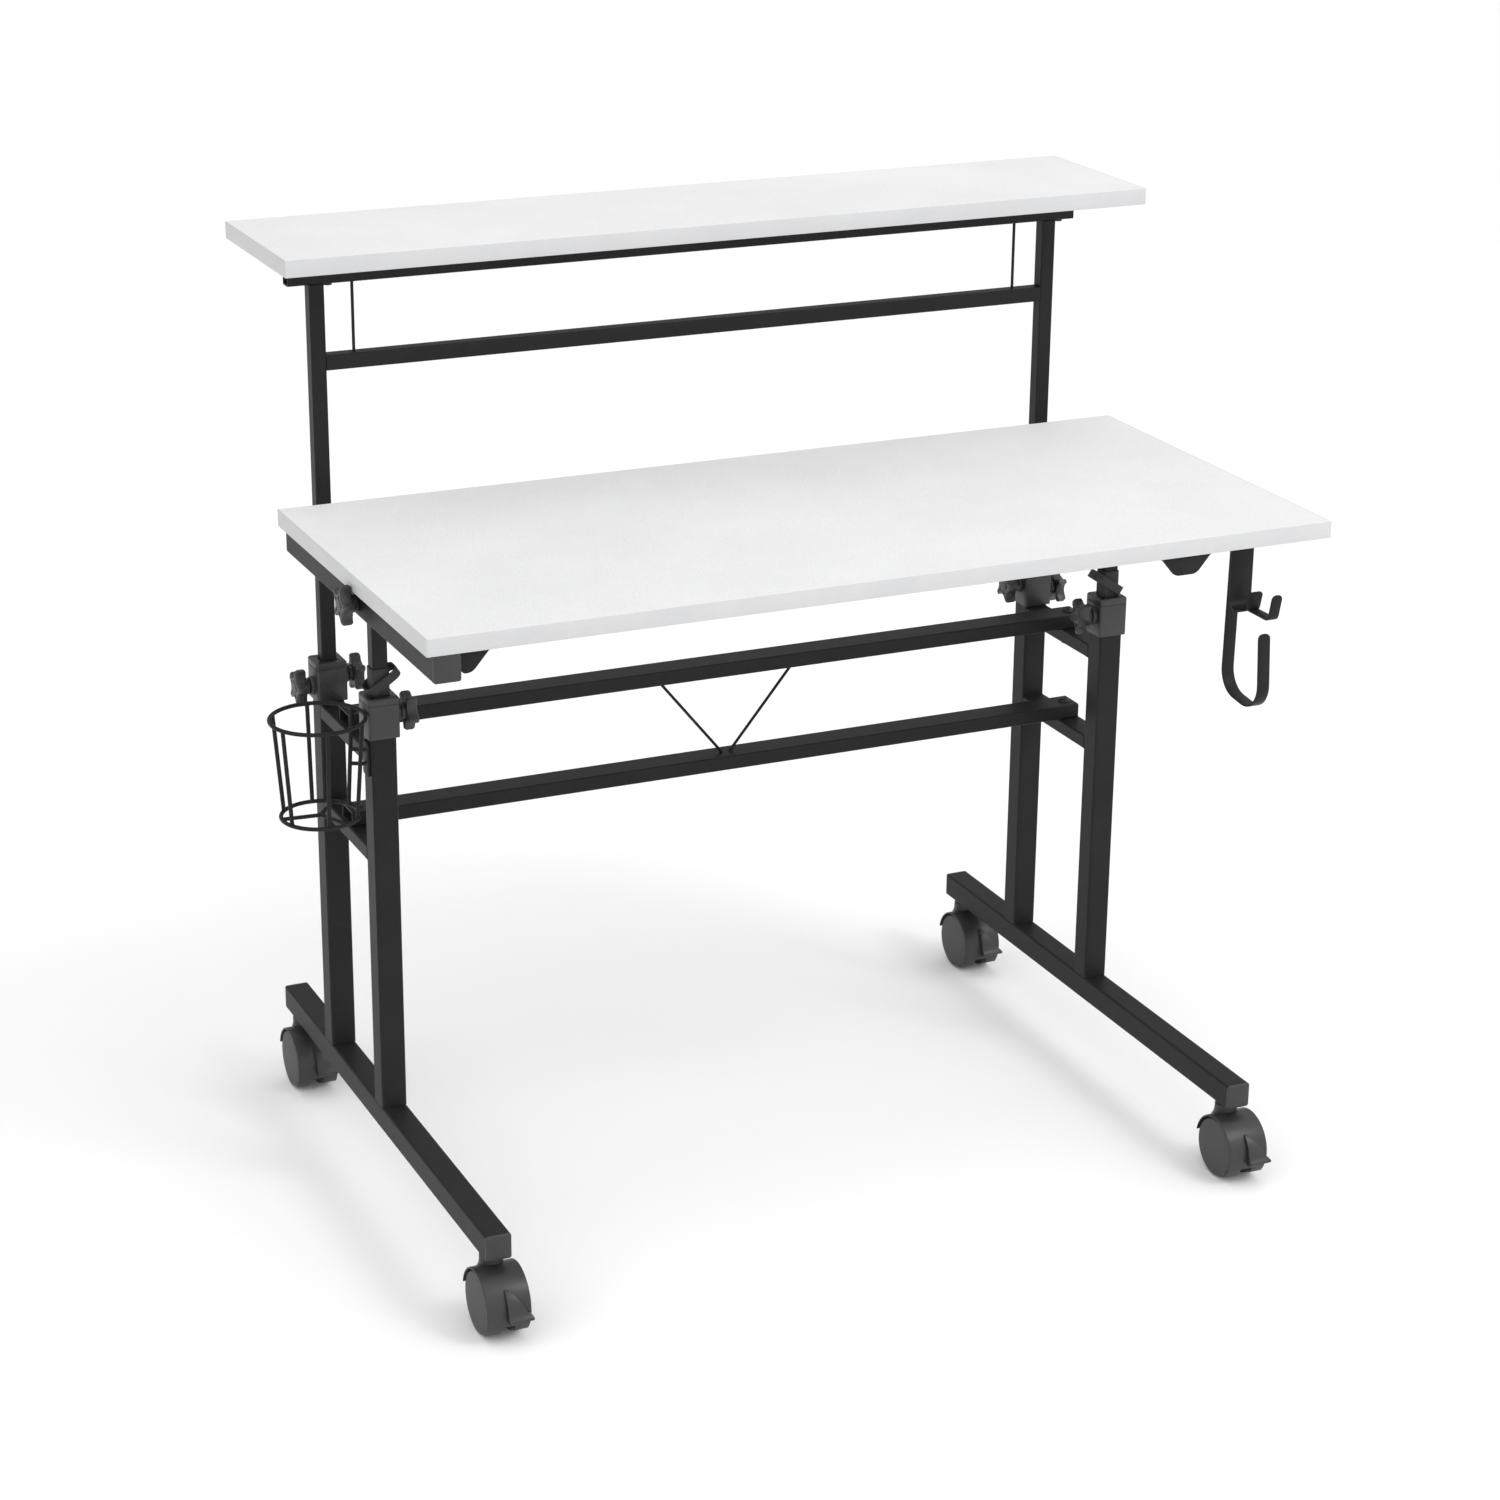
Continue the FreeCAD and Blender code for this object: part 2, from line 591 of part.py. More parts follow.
def strap(points, radii, width, x):
    """A flat strap bent along a line in the YZ plane, with its width along X and centred on x."""
    near, near_end = bent_side(points, radii, STRAP_THICK / 2)
    far, far_end = bent_side(points, radii, -STRAP_THICK / 2)
    ends = [Part.makeLine(near[0].Vertexes[0].Point, far[0].Vertexes[0].Point),
            Part.makeLine(near_end, far_end)]
    outline = Part.Wire(Part.__sortEdges__(near + far + ends))
    solid = Part.Face(outline).extrude(V(width, 0, 0))
    solid.translate(V(x - width / 2, 0, 0))
    return solid


HOOK_X = 372.0           # middle of the wide strap
HOOK_Y = 30.0            # its upright face behind the desktop's front edge


def build_hooks():
    """A two-pronged headphone hook and a long open hook behind it, both of bent steel strap."""
    top = cell("desk_height") - cell("board_thick") - STRAP_THICK / 2
    wide = strap([(HOOK_Y + 26, top), (HOOK_Y, top), (HOOK_Y, top - 66), (HOOK_Y - 15, top - 66),
                  (HOOK_Y - 21, top - 46)], (6, 6, 6), 24, HOOK_X)
    prong = strap([(HOOK_Y - 9, top - 66), (HOOK_Y - 48, top - 66), (HOOK_Y - 54, top - 40)], (6,), 11,
                  HOOK_X + 6.4)
    node("headphone_hook", shape(wide.fuse(prong).removeSplitter()))

    back = HOOK_Y + 32
    long_hook = strap([(back + 22, top), (back, top), (back + 4, top - 160), (back - 62, top - 168),
                       (back - 56, top - 88)], (9, 24, 24), 13, HOOK_X + 14)
    node("long_hook", shape(long_hook))


# ---------------------------------------------------------------- shelf
SHELF_SCREWS = (-379.0, 406.0)      # one beside each post
ROD_SPREAD = 355


def build_shelf():
    """Two posts with a bar between them, an upright bar under the shelf, two thin rods, the board."""
    for side, sign in SIDES:
        post = tube("z", f"{SHELF_BAR_UNDER} - dims.sliding_foot", "dims.inner_side", "dims.inner_side",
                    "inner_corner", leg_x(sign), "dims.rear_leg", "dims.sliding_foot")
        node(f"shelf_post_{side}", post)
    crossbar = tube("x", "2 * dims.leg_centre - dims.inner_side", "dims.inner_side", "dims.inner_side",
                    "inner_corner", "0", "dims.rear_leg", "dims.post_bar_under")
    node("post_crossbar", crossbar)
    bar = tube("x", "2 * dims.shelf_bar_half", "dims.bar_height", "dims.bar_depth", "bar_corner", "0",
               "dims.rear_leg", SHELF_BAR_UNDER)
    holes = []
    screws = []
    for at in SHELF_SCREWS:
        holes.append(rod(f"{SCREW_RADIUS + FIT}", "dims.bar_depth + 4", f"{at}", "dims.rear_leg",
                         f"{SHELF_BAR_UNDER} - 2"))
        screws.append(screw(f"{at}", "dims.rear_leg", SHELF_BAR_UNDER, f"dims.bar_depth + {SCREW_BITE - 1}"))
    node("shelf_support_bar", cut(bar, *holes))
    node("shelf_screws", group(*screws))
    rods = []
    for sign in SIGNS:
        start = "(dims.post_bar_under + dims.inner_side)"
        rods.append(rod("dims.rod_radius", f"{SHELF_BAR_UNDER} - {start}", f"{sign * ROD_SPREAD}",
                        "dims.rear_leg", start))
    node("shelf_rods", group(*rods))
    middle = "(dims.shelf_front + dims.shelf_depth / 2)"
    offset = cell("rear_leg") - cell("shelf_front") - cell("shelf_depth") / 2
    board_body("shelf_board", "shelf_depth", [(at, offset) for at in SHELF_SCREWS], middle, SHELF_UNDER)
    band("shelf_edge_band", "dims.desk_width", "dims.shelf_depth", "0", middle, SHELF_UNDER)


# ---------------------------------------------------------------- star knobs
def star_head(name, hub_length):
    """Head of a star knob on the YZ plane, pointing along +X: a disc with five scallops and a hub."""
    body = doc.addObject("PartDesign::Body", f"{name}_head")
    disc_sketch = sketch_on(body, "YZ_Plane", f"{name}_disc")
    disc_sketch.addGeometry(Part.Circle(V(0, 0, 0), V(0, 0, 1), cell("knob_radius")), False)
    disc_sketch.addConstraint(Sketcher.Constraint("Coincident", 0, 3, -1, 1))
    disc_sketch.addConstraint(Sketcher.Constraint("Radius", 0, cell("knob_radius")))
    disc_sketch.setExpression("Constraints[1]", "dims.knob_radius")
    disc = body.newObject("PartDesign::Pad", f"{name}_disc_pad")
    disc.Profile = disc_sketch
    disc.setExpression("Length", "dims.knob_thick")
    doc.recompute()
    scallop_sketch = sketch_on(body, "YZ_Plane", f"{name}_scallop")
    scallop_sketch.addGeometry(Part.Circle(V(cell("knob_radius") + 2.6, 0, 0), V(0, 0, 1), 9.2), False)
    scallop = body.newObject("PartDesign::Pocket", f"{name}_scallop_pocket")
    scallop.Profile = scallop_sketch
    scallop.Type = 1
    scallop.Midplane = True
    doc.recompute()
    ring = body.newObject("PartDesign::PolarPattern", f"{name}_scallops")
    ring.Originals = [scallop]
    ring.Axis = (next(item for item in body.Origin.OriginFeatures if item.Role == "X_Axis"), [""])
    ring.Angle = 360
    ring.Occurrences = 5
    body.Tip = ring
    doc.recompute()
    hub_sketch = sketch_on(body, "YZ_Plane", f"{name}_hub")
    hub_sketch.addGeometry(Part.Circle(V(0, 0, 0), V(0, 0, 1), 8), False)
    hub = body.newObject("PartDesign::Pad", f"{name}_hub_pad")
    hub.Profile = hub_sketch
    hub.Length = hub_length
    hub.Reversed = True
    doc.recompute()
    return body


def knob(label, outward, seat_x, y, z, stud_length, hub_length=CLAMP_HUB):
    """A star knob whose hub ends at seat_x; its threaded stud goes on from there into the frame."""
    head = star_head(label, hub_length)
    turn = FreeCAD.Rotation() if outward > 0 else FreeCAD.Rotation(V(0, 0, 1), 180)
    head.Placement = FreeCAD.Placement(V(), turn)
    put(head, f"{seat_x} + {outward * hub_length}", y, z)
    stud = rod("dims.stud_radius", stud_length, seat_x, y, z, V(-outward, 0, 0))
    node(label, group(head, stud))


def build_knobs():
    """Clamp knobs on the collars and lock knobs on the tilt axis."""
    reach = "dims.collar_side / 2 + 4 + 0.5"
    for name, depth, collar_top, studs in LEG_ROWS:
        for side, sign in SIDES:
            for face, level in studs:
                outward = face * sign
                place = "inner" if face < 0 else "outer"
                seat = f"({leg_x(sign)} + {outward} * ({reach}))"
                knob(f"{name}_knob_{place}_{side}", outward, seat, depth, level,
                     f"{reach} - dims.inner_side / 2 - {GAP}")
    for side, sign in SIDES:
        seat = f"({sign} * (dims.arm_inner + dims.tube_side + 0.5))"
        knob(f"tilt_knob_{side}", sign, seat, "dims.pivot_back", PIVOT_LEVEL,
             "dims.arm_inner + dims.tube_side + 0.5 - dims.leg_centre - dims.inner_side / 2 - 1", TILT_HUB)


# ---------------------------------------------------------------- casters
def caster_place(sign, end):
    """Numbers for one caster: its x, the wheel axis and the swivel axis."""
    inset = cell("caster_inset")
    swivel_y = cell("foot_front") + (inset if end == "front" else cell("foot_length") - inset)
    return sign * cell("leg_centre"), swivel_y - cell("caster_trail"), swivel_y


def x_cylinder(radius, length, x, y, z):
    """A cylinder along X, centred on x."""
    return Part.makeCylinder(radius, length, V(x - length / 2, y, z), V(1, 0, 0))


NECK_TOP_GAP = 1.0


def hood_shape(x, y, swivel_y):
    """Caster hood: half-open drum with two wheel bays, a web between them and a neck for the stem."""
    level = cell("wheel_radius")
    web = cell("web_width")
    width = cell("hood_width")
    drum = x_cylinder(cell("hood_radius"), width, x, y, level)
    neck_top = cell("foot_under") - NECK_TOP_GAP - 1.5
    neck = Part.makeCylinder(11, neck_top - level - 12, V(x, swivel_y, level + 12))
    hood = drum.fuse(neck)
    bay_depth = (width - web) / 2
    for sign in (-1, 1):
        bay_x = x + sign * (web / 2 + bay_depth / 2 + 0.5)
        hood = hood.cut(x_cylinder(cell("wheel_radius") + 0.9, bay_depth + 1, bay_x, y, level))
    reach = cell("hood_radius") + 5
    skirt = 9.0
    hood = hood.cut(Part.makeBox(width + 10, 2 * reach, skirt + 5, V(x - width / 2 - 5, y - reach, -5)))
    hood = hood.cut(Part.makeBox(width + 10, reach, level + 6, V(x - width / 2 - 5, y + 9, 0)))
    web_room = Part.makeBox(web + 0.2, 2 * reach, 14, V(x - web / 2 - 0.1, y - cell("hood_radius") + 2.6, 0))
    hood = hood.cut(web_room)
    stem_bore = Part.makeCylinder(cell("stem_radius") + FIT, 24, V(x, swivel_y, neck_top - 22))
    axle_bore = x_cylinder(cell("axle_radius") + FIT, web + 4, x, y, level)
    hood = hood.cut(stem_bore).cut(axle_bore)
    return max(hood.Solids, key=lambda solid: solid.Volume)


def wheel_profile_points():
    """Half section of a wheel: (distance along the axle from the web side, radius)."""
    width = cell("wheel_width")
    radius = cell("wheel_radius")
    return [(0, cell("axle_radius")), (0, 7.0), (2.0, 7.0), (2.0, radius - 6.5), (0, radius - 6.5),
            (0, radius - 1.2), (1.2, radius), (width - 2.0, radius), (width - 0.6, radius - 1.4),
            (width - 0.6, radius - 3.2), (width - 1.6, radius - 3.8), (width, 0), (width - 2.5, 0),
            (width - 2.5, cell("axle_radius"))]


def wheel_shape(x, y, sign):
    """One wheel, turned round the axle, on the side given by sign."""
    start = x + sign * (cell("web_width") / 2 + 0.5)
    level = cell("wheel_radius")
    points = [V(start + sign * along, y, level + radius) for along, radius in wheel_profile_points()]
    face = Part.Face(Part.makePolygon(points + points[:1]))
    return face.revolve(V(start, y, level), V(1, 0, 0), 360)


def pedal_shape(x, y):
    """Brake pedal: a wedge over the right half of the hood's front, hollowed to run round the drum."""
    level = cell("wheel_radius")
    inner = cell("hood_radius") + 0.5
    left = x - 2.5
    right = x + cell("hood_width") / 2
    side = [V(left, y - inner + back, level + rise)
            for back, rise in ((1.5, -12), (-9.5, -11), (-8.0, -6), (6.0, 19), (9.0, 14))]
    wedge = Part.Face(Part.makePolygon(side + side[:1])).extrude(V(right - left, 0, 0))
    return wedge.cut(x_cylinder(inner, 60, x, y, level)).Solids[0]


def build_casters():
    """Four twin-wheel casters: stems fixed in the feet, and hoods, wheelsets and pedals that turn."""
    stems = []
    for end in ("front", "rear"):
        for side, sign in SIDES:
            x, y, swivel_y = caster_place(sign, end)
            name = f"{end}_{side}"
            foot_under = cell("foot_under")
            stem = Part.makeCylinder(cell("stem_radius"), 42, V(x, swivel_y, foot_under - 22))
            washer_thick = NECK_TOP_GAP + 1.2
            washer = Part.makeCylinder(10, washer_thick, V(x, swivel_y, foot_under - washer_thick))
            stems.append(shape(stem.fuse(washer).removeSplitter()))
            node(f"caster_hood_{name}", shape(hood_shape(x, y, swivel_y)))
            axle_length = cell("web_width") + 2 * (cell("wheel_width") - 2.5) + 1
            axle = shape(x_cylinder(cell("axle_radius"), axle_length, x, y, cell("wheel_radius")))
            wheels = [shape(wheel_shape(x, y, wheel_side)) for wheel_side in (-1, 1)]
            node(f"caster_wheels_{name}", group(axle, *wheels))
            node(f"caster_pedal_{name}", shape(pedal_shape(x, y)))
    node("caster_stems", group(*stems))


# ---------------------------------------------------------------- build, test and write
build_feet()
build_legs()
build_collars()
build_rails()
build_frame_bolts()
build_braces()
build_cup_holder()
build_lift()
build_stop_straps()
build_desktop()
build_front_tabs()
build_hooks()
build_shelf()
build_knobs()
build_casters()
doc.recompute()

faults = []
for obj in doc.Objects:
    if "Invalid" in obj.State or "Error" in obj.State:
        faults.append(f"{obj.Name} ({obj.Label}): {obj.State}")
for label, obj in NODES.items():
    if obj.Shape.isNull() or not obj.Shape.isValid() or not obj.Shape.Solids:
        faults.append(f"{label}: shape is null, not valid or has no solid")
if faults:
    raise SystemExit("\n".join(faults))

os.makedirs("parts", exist_ok=True)
whole = FreeCAD.BoundBox()
for label, obj in NODES.items():
    obj.Shape.exportStep(f"parts/{label}.step")
    whole.add(obj.Shape.BoundBox)
print(f"{len(NODES)} sub-parts; box from ({whole.XMin:.2f}, {whole.YMin:.2f}, {whole.ZMin:.2f}) "
      f"to ({whole.XMax:.2f}, {whole.YMax:.2f}, {whole.ZMax:.2f}); "
      f"middle ({whole.Center.x:.3f}, {whole.Center.y:.3f})")
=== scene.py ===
import json
import math

import bmesh
import bpy
from mathutils import Matrix, Vector


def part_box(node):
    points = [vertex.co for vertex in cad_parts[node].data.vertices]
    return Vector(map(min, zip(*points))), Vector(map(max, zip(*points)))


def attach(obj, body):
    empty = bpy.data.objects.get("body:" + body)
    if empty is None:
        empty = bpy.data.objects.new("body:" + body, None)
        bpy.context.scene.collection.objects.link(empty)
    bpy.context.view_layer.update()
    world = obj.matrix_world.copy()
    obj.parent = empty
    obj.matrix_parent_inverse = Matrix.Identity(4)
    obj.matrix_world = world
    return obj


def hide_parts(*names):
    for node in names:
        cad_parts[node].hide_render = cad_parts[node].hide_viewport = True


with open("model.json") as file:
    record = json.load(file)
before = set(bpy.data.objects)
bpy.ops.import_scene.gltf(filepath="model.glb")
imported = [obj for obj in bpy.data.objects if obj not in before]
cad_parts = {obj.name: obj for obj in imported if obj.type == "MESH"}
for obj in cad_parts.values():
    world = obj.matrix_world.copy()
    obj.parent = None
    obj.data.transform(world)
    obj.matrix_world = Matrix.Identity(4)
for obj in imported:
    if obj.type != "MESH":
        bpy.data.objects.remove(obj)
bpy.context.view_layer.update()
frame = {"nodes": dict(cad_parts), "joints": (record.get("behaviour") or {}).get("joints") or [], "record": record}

MM = 0.001
BODY_OF = {name: body for body, names in frame["record"]["behaviour"]["bodies"].items() for name in names}
SLOT_OF = {entry["node"]: entry["material_slot"] for entry in frame["record"]["subparts"]}
JOINT = {joint["name"]: joint for joint in frame["joints"]}
CORNERS = ("front_left", "front_right", "rear_left", "rear_right")
X_AXIS = Vector((1, 0, 0))
Y_AXIS = Vector((0, 1, 0))
Z_AXIS = Vector((0, 0, 1))
HALF_TURN = Matrix.Rotation(math.pi, 4, "Z")
WELD = 0.002 * MM


# ---------------------------------------------------------------- shader maths
class Shade:
    """An output socket in a material. Arithmetic on it adds Math nodes."""

    def __init__(self, tree, socket=None):
        self.tree = tree
        self.socket = socket

    def node(self, kind, settings=None, values=None, out=0):
        """Any node: its settings come first, then the values or links of its inputs."""
        made = self.tree.nodes.new(kind)
        for name, setting in (settings or {}).items():
            setattr(made, name, setting)
        for name, value in (values or {}).items():
            if isinstance(value, Shade):
                self.tree.links.new(value.socket, made.inputs[name])
            else:
                made.inputs[name].default_value = value
        return Shade(self.tree, made.outputs[out])

    def math(self, operation, first, second):
        return self.node("ShaderNodeMath", {"operation": operation}, {0: first, 1: second})

    def __add__(self, other):
        return self.math("ADD", self, other)

    __radd__ = __add__

    def __mul__(self, other):
        return self.math("MULTIPLY", self, other)

    __rmul__ = __mul__

    def __sub__(self, other):
        return self.math("SUBTRACT", self, other)

    def __rsub__(self, other):
        return self.math("SUBTRACT", other, self)

    def noise(self, scale, detail=2.0, rough=0.5, stretch=None):
        """Noise over the piece's own metres; scale is in features per metre."""
        where = self
        if stretch:
            where = self.node("ShaderNodeMapping", None, {"Vector": self, "Scale": stretch})
        return self.node("ShaderNodeTexNoise", None,
                         {"Vector": where, "Scale": scale, "Detail": detail, "Roughness": rough})

    def cells(self, scale):
        """Distance to the nearest of a scatter of points."""
        return self.node("ShaderNodeTexVoronoi", None, {"Vector": self, "Scale": scale})

    def between(self, low, high):
        """Stretch this value so that low becomes 0 and high becomes 1."""
        return self.node("ShaderNodeMapRange", None, {"Value": self, "From Min": low, "From Max": high})

    def blend(self, dark, light):
        """Colour that goes from dark to light with this value."""
        mixed = self.tree.nodes.new("ShaderNodeMix")
        mixed.data_type = "RGBA"
        self.tree.links.new(self.socket, mixed.inputs[0])
        for index, colour in ((6, dark), (7, light)):
            mixed.inputs[index].default_value = (*colour, 1)
        return Shade(self.tree, mixed.outputs[2])

    def bump(self, depth, strength=1.0):
        """Surface normal for this height, with depth in metres."""
        return self.node("ShaderNodeBump", None, {"Height": self, "Distance": depth, "Strength": strength})


def finish_material(name, paint):
    """A material whose sockets come from paint(place), where place is the object coordinates."""
    material = bpy.data.materials.new(name)
    material.use_nodes = True
    tree = material.node_tree
    shader = next(node for node in tree.nodes if node.type == "BSDF_PRINCIPLED")
    place = Shade(tree).node("ShaderNodeTexCoord", None, None, out=3)
    for socket, value in paint(place).items():
        if isinstance(value, Shade):
            tree.links.new(value.socket, shader.inputs[socket])
        else:
            shader.inputs[socket].default_value = value
    return material


def powder_coat(place):
    """Satin black powder coat: fine orange peel, slow changes of tone, a few rubbed spots."""
    peel = place.noise(900, 2, 0.6)
    tone = place.noise(14, 3, 0.55)
    rubbed = place.noise(60, 5, 0.65).between(0.60, 0.78)
    shade = (tone * 0.7 + rubbed * 0.3).between(0.25, 0.85)
    return {
        "Base Color": shade.blend((0.0145, 0.0147, 0.0152), (0.0230, 0.0233, 0.0243)),
        "Roughness": 0.36 + tone * 0.10 + peel * 0.06 - rubbed * 0.05,
        "Specular IOR Level": 0.12,
        "Normal": peel.bump(0.00012, 0.5),
    }


def moulded_plastic(dark, light, rough):
    """Moulded plastic with a spark-eroded grain, faint flow marks and a few scuffs."""
    def paint(place):
        grain = place.noise(2300, 3, 0.6)
        flow = place.noise(28, 3, 0.6, (1, 1, 0.35))
        scuff = place.noise(120, 5, 0.7).between(0.62, 0.8)
        return {
            "Base Color": (flow * 0.8 + scuff * 0.35).between(0.2, 0.9).blend(dark, light),
            "Roughness": rough + flow * 0.12 - scuff * 0.06,
            "Normal": grain.bump(0.00006, 0.7),
        }
    return paint


def white_laminate(place):
    """White melamine with a fine pebbled press texture."""
    pebble = place.cells(430)
    fine = place.noise(1500, 3, 0.6)
    cloud = place.noise(7, 4, 0.6)
    speck = place.noise(620, 4, 0.75)
    tone = (cloud * 0.4 + speck * 0.6).between(0.32, 0.68)
    return {
        "Base Color": tone.blend((0.705, 0.707, 0.715), (0.800, 0.801, 0.807)),
        "Roughness": 0.46 + cloud * 0.06 + pebble * 0.10,
        "Normal": (pebble * 0.65 + fine * 0.35).bump(0.0005, 0.8),
    }


def edge_banding(place):
    """Smooth white band with faint marks left along its length by the trimming scraper."""
    scrape = place.noise(300, 3, 0.6, (0.05, 0.05, 3))
    cloud = place.noise(18, 3, 0.6)
    tone = (cloud * 0.6 + scrape * 0.4).between(0.3, 0.7)
    return {
        "Base Color": tone.blend((0.52, 0.522, 0.53), (0.57, 0.572, 0.578)),
        "Roughness": 0.42 + scrape * 0.14,
        "Normal": scrape.bump(0.00003, 0.5),
    }


def black_zinc(place):
    """Black zinc plated steel with turning marks and rubbed highlights."""
    turned = place.noise(1800, 2, 0.5, (1, 1, 6))
    worn = place.noise(240, 4, 0.65).between(0.5, 0.75)
    return {
        "Base Color": worn.blend((0.030, 0.030, 0.032), (0.12, 0.118, 0.114)),
        "Metallic": 0.9,
        "Roughness": 0.36 + turned * 0.16,
        "Normal": turned.bump(0.00003, 0.4),
    }


def soft_strap(place):
    """Matt rubber-like strap with a fine woven skin."""
    weave = place.node("ShaderNodeTexWave", {"bands_direction": "DIAGONAL"},
                       {"Vector": place, "Scale": 420, "Distortion": 1.5, "Detail": 2.0}, out=1)
    tone = place.noise(90, 3, 0.6)
    return {
        "Base Color": tone.blend((0.011, 0.011, 0.012), (0.024, 0.024, 0.026)),
        "Roughness": 0.66 + weave * 0.12,
        "Normal": weave.bump(0.00012, 0.5),
    }


FINISH = {
    "black_powder_coat": finish_material("black_powder_coat", powder_coat),
    "black_plastic": finish_material(
        "black_plastic", moulded_plastic((0.019, 0.0195, 0.0205), (0.034, 0.0345, 0.0365), 0.34)),
    "wheel_plastic": finish_material(
        "wheel_plastic", moulded_plastic((0.030, 0.0305, 0.032), (0.050, 0.051, 0.053), 0.46)),
    "white_laminate": finish_material("white_laminate", white_laminate),
    "edge_band": finish_material("edge_band", edge_banding),
    "dark_zinc_steel": finish_material("dark_zinc_steel", black_zinc),
    "soft_strap": finish_material("soft_strap", soft_strap),
}
for node_name, cad_node in frame["nodes"].items():
    for slot in cad_node.material_slots:
        slot.material = FINISH[SLOT_OF[node_name]]


# ---------------------------------------------------------------- bench tools
def add(kind, name, **settings):
    """A primitive at its size and place, named and open in edit mode, with all of it selected."""
    bpy.ops.object.select_all(action="DESELECT")
    getattr(bpy.ops.mesh, f"primitive_{kind}_add")(**settings)
    bpy.ops.object.transform_apply(location=True, rotation=True, scale=True)
    piece = bpy.context.object
    piece.name = name
    bpy.ops.object.mode_set(mode="EDIT")
    bpy.ops.mesh.select_mode(type="VERT")
    bpy.ops.mesh.select_all(action="SELECT")
    return piece


def close():
    """Leave edit mode with clean, outward-facing faces."""
    bpy.ops.mesh.select_all(action="SELECT")
    bpy.ops.mesh.remove_doubles(threshold=WELD)
    bpy.ops.mesh.normals_make_consistent(inside=False)
    bpy.ops.object.mode_set(mode="OBJECT")


def pick(kind, test):
    """Select the verts, edges or faces of the open piece that pass a test."""
    bpy.ops.mesh.select_mode(type={"verts": "VERT", "edges": "EDGE", "faces": "FACE"}[kind])
    bpy.ops.mesh.select_all(action="DESELECT")
    mesh = bmesh.from_edit_mesh(bpy.context.object.data)
    for item in getattr(mesh, kind):
        if test(item):
            item.select_set(True)
    bmesh.update_edit_mesh(bpy.context.object.data)


def facing(direction):
    """Test for a face that looks along a direction."""
    return lambda face: face.normal.dot(Vector(direction)) > 0.9


def running(direction):
    """Test for an edge that runs along a direction."""
    along = Vector(direction)
    return lambda edge: abs((edge.verts[1].co - edge.verts[0].co).normalized().dot(along)) > 0.99


def push(x=0.0, y=0.0, z=0.0):
    """Extrude what is selected and move it."""
    bpy.ops.mesh.extrude_region_move(TRANSFORM_OT_translate={"value": (x, y, z)})


def chain(name, points):
    """A line of edges drawn from a single vertex through the points."""
    piece = add("plane", name, size=0.01, location=points[0])
    bpy.ops.mesh.merge(type="CENTER")
    for here, there in zip(points, points[1:]):
        step = tuple(Vector(there) - Vector(here))
        bpy.ops.mesh.extrude_vertices_move(TRANSFORM_OT_translate={"value": step})
    return piece


def outline_of(name, points):
    """A closed outline through the points, with all of it selected."""
    piece = chain(name, points + points[:1])
    bpy.ops.mesh.select_all(action="SELECT")
    bpy.ops.mesh.remove_doubles(threshold=WELD)
    return piece


def eased_block(name, centre, size, along, corner, segments=4):
    """A block, open in edit mode, whose edges along one direction are rounded."""
    piece = add("cube", name, size=1, location=centre, scale=size)
    pick("edges", running(along))
    bpy.ops.mesh.bevel(offset=corner, segments=segments)
    return piece


def lathe(name, profile, centre=(0, 0, 0), axis=X_AXIS, steps=72):
    """A turned piece. The profile runs from pole to pole as (distance along the axis, radius)."""
    axis = Vector(axis)
    outward = Z_AXIS if abs(axis.z) < 0.5 else X_AXIS
    middle = Vector(centre)
    piece = chain(name, [middle + axis * along + outward * radius for along, radius in profile])
    bpy.ops.mesh.select_all(action="SELECT")
    bpy.ops.mesh.spin(steps=steps, angle=2 * math.pi, center=middle, axis=axis)
    close()
    return piece


def swept(name, outline, start, sweep, steps):
    """A closed outline of (x, radius) spun through part of a turn about the X axis, with closed ends.
    Angles are in degrees from +Y, through the top."""
    first = Vector((0, math.cos(math.radians(start)), math.sin(math.radians(start))))
    piece = outline_of(name, [X_AXIS * x + first * radius for x, radius in outline])
    bpy.ops.mesh.spin(steps=steps, angle=math.radians(sweep), center=(0, 0, 0), axis=(-1, 0, 0))
    bpy.ops.mesh.select_all(action="SELECT")
    bpy.ops.mesh.remove_doubles(threshold=WELD)
    bpy.ops.mesh.fill_holes(sides=0)
    close()
    return piece


def soften(piece, width, segments=2, angle=35):
    """Round every edge sharper than the angle and shade the piece smoothly."""
    modifier = piece.modifiers.new("rounding", "BEVEL")
    modifier.width = width
    modifier.segments = segments
    modifier.limit_method = "ANGLE"
    modifier.angle_limit = math.radians(angle)
    modifier.harden_normals = False
    apply_last(piece)
    bpy.ops.object.shade_smooth_by_angle(angle=math.radians(angle))
    return piece


def apply_last(piece):
    """Apply the piece's last modifier."""
    bpy.ops.object.select_all(action="DESELECT")
    bpy.context.view_layer.objects.active = piece
    piece.select_set(True)
    bpy.ops.object.modifier_apply(modifier=piece.modifiers[-1].name)


def carve(piece, tool):
    """Take a tool's shape out of a piece and throw the tool away."""
    modifier = piece.modifiers.new("carving", "BOOLEAN")
    modifier.operation = "DIFFERENCE"
    modifier.solver = "EXACT"
    modifier.object = tool
    apply_last(piece)
    bpy.data.objects.remove(tool)
    return piece


def join(name, pieces):
    """Several pieces as one."""
    bpy.ops.object.select_all(action="DESELECT")
    for piece in pieces:
        piece.select_set(True)
    bpy.context.view_layer.objects.active = pieces[0]
    bpy.ops.object.join()
    pieces[0].name = name
    return pieces[0]


def copy_to(piece, name, matrix):
    """A copy with a mesh of its own, carried to its place."""
    twin = piece.copy()
    twin.data = piece.data.copy()
    twin.name = name
    twin.data.transform(matrix)
    bpy.context.scene.collection.objects.link(twin)
    return twin


def turned(outward):
    """Matrix that leaves a pattern along +X as it is, or turns it to -X."""
    return Matrix.Identity(4) if outward > 0 else HALF_TURN


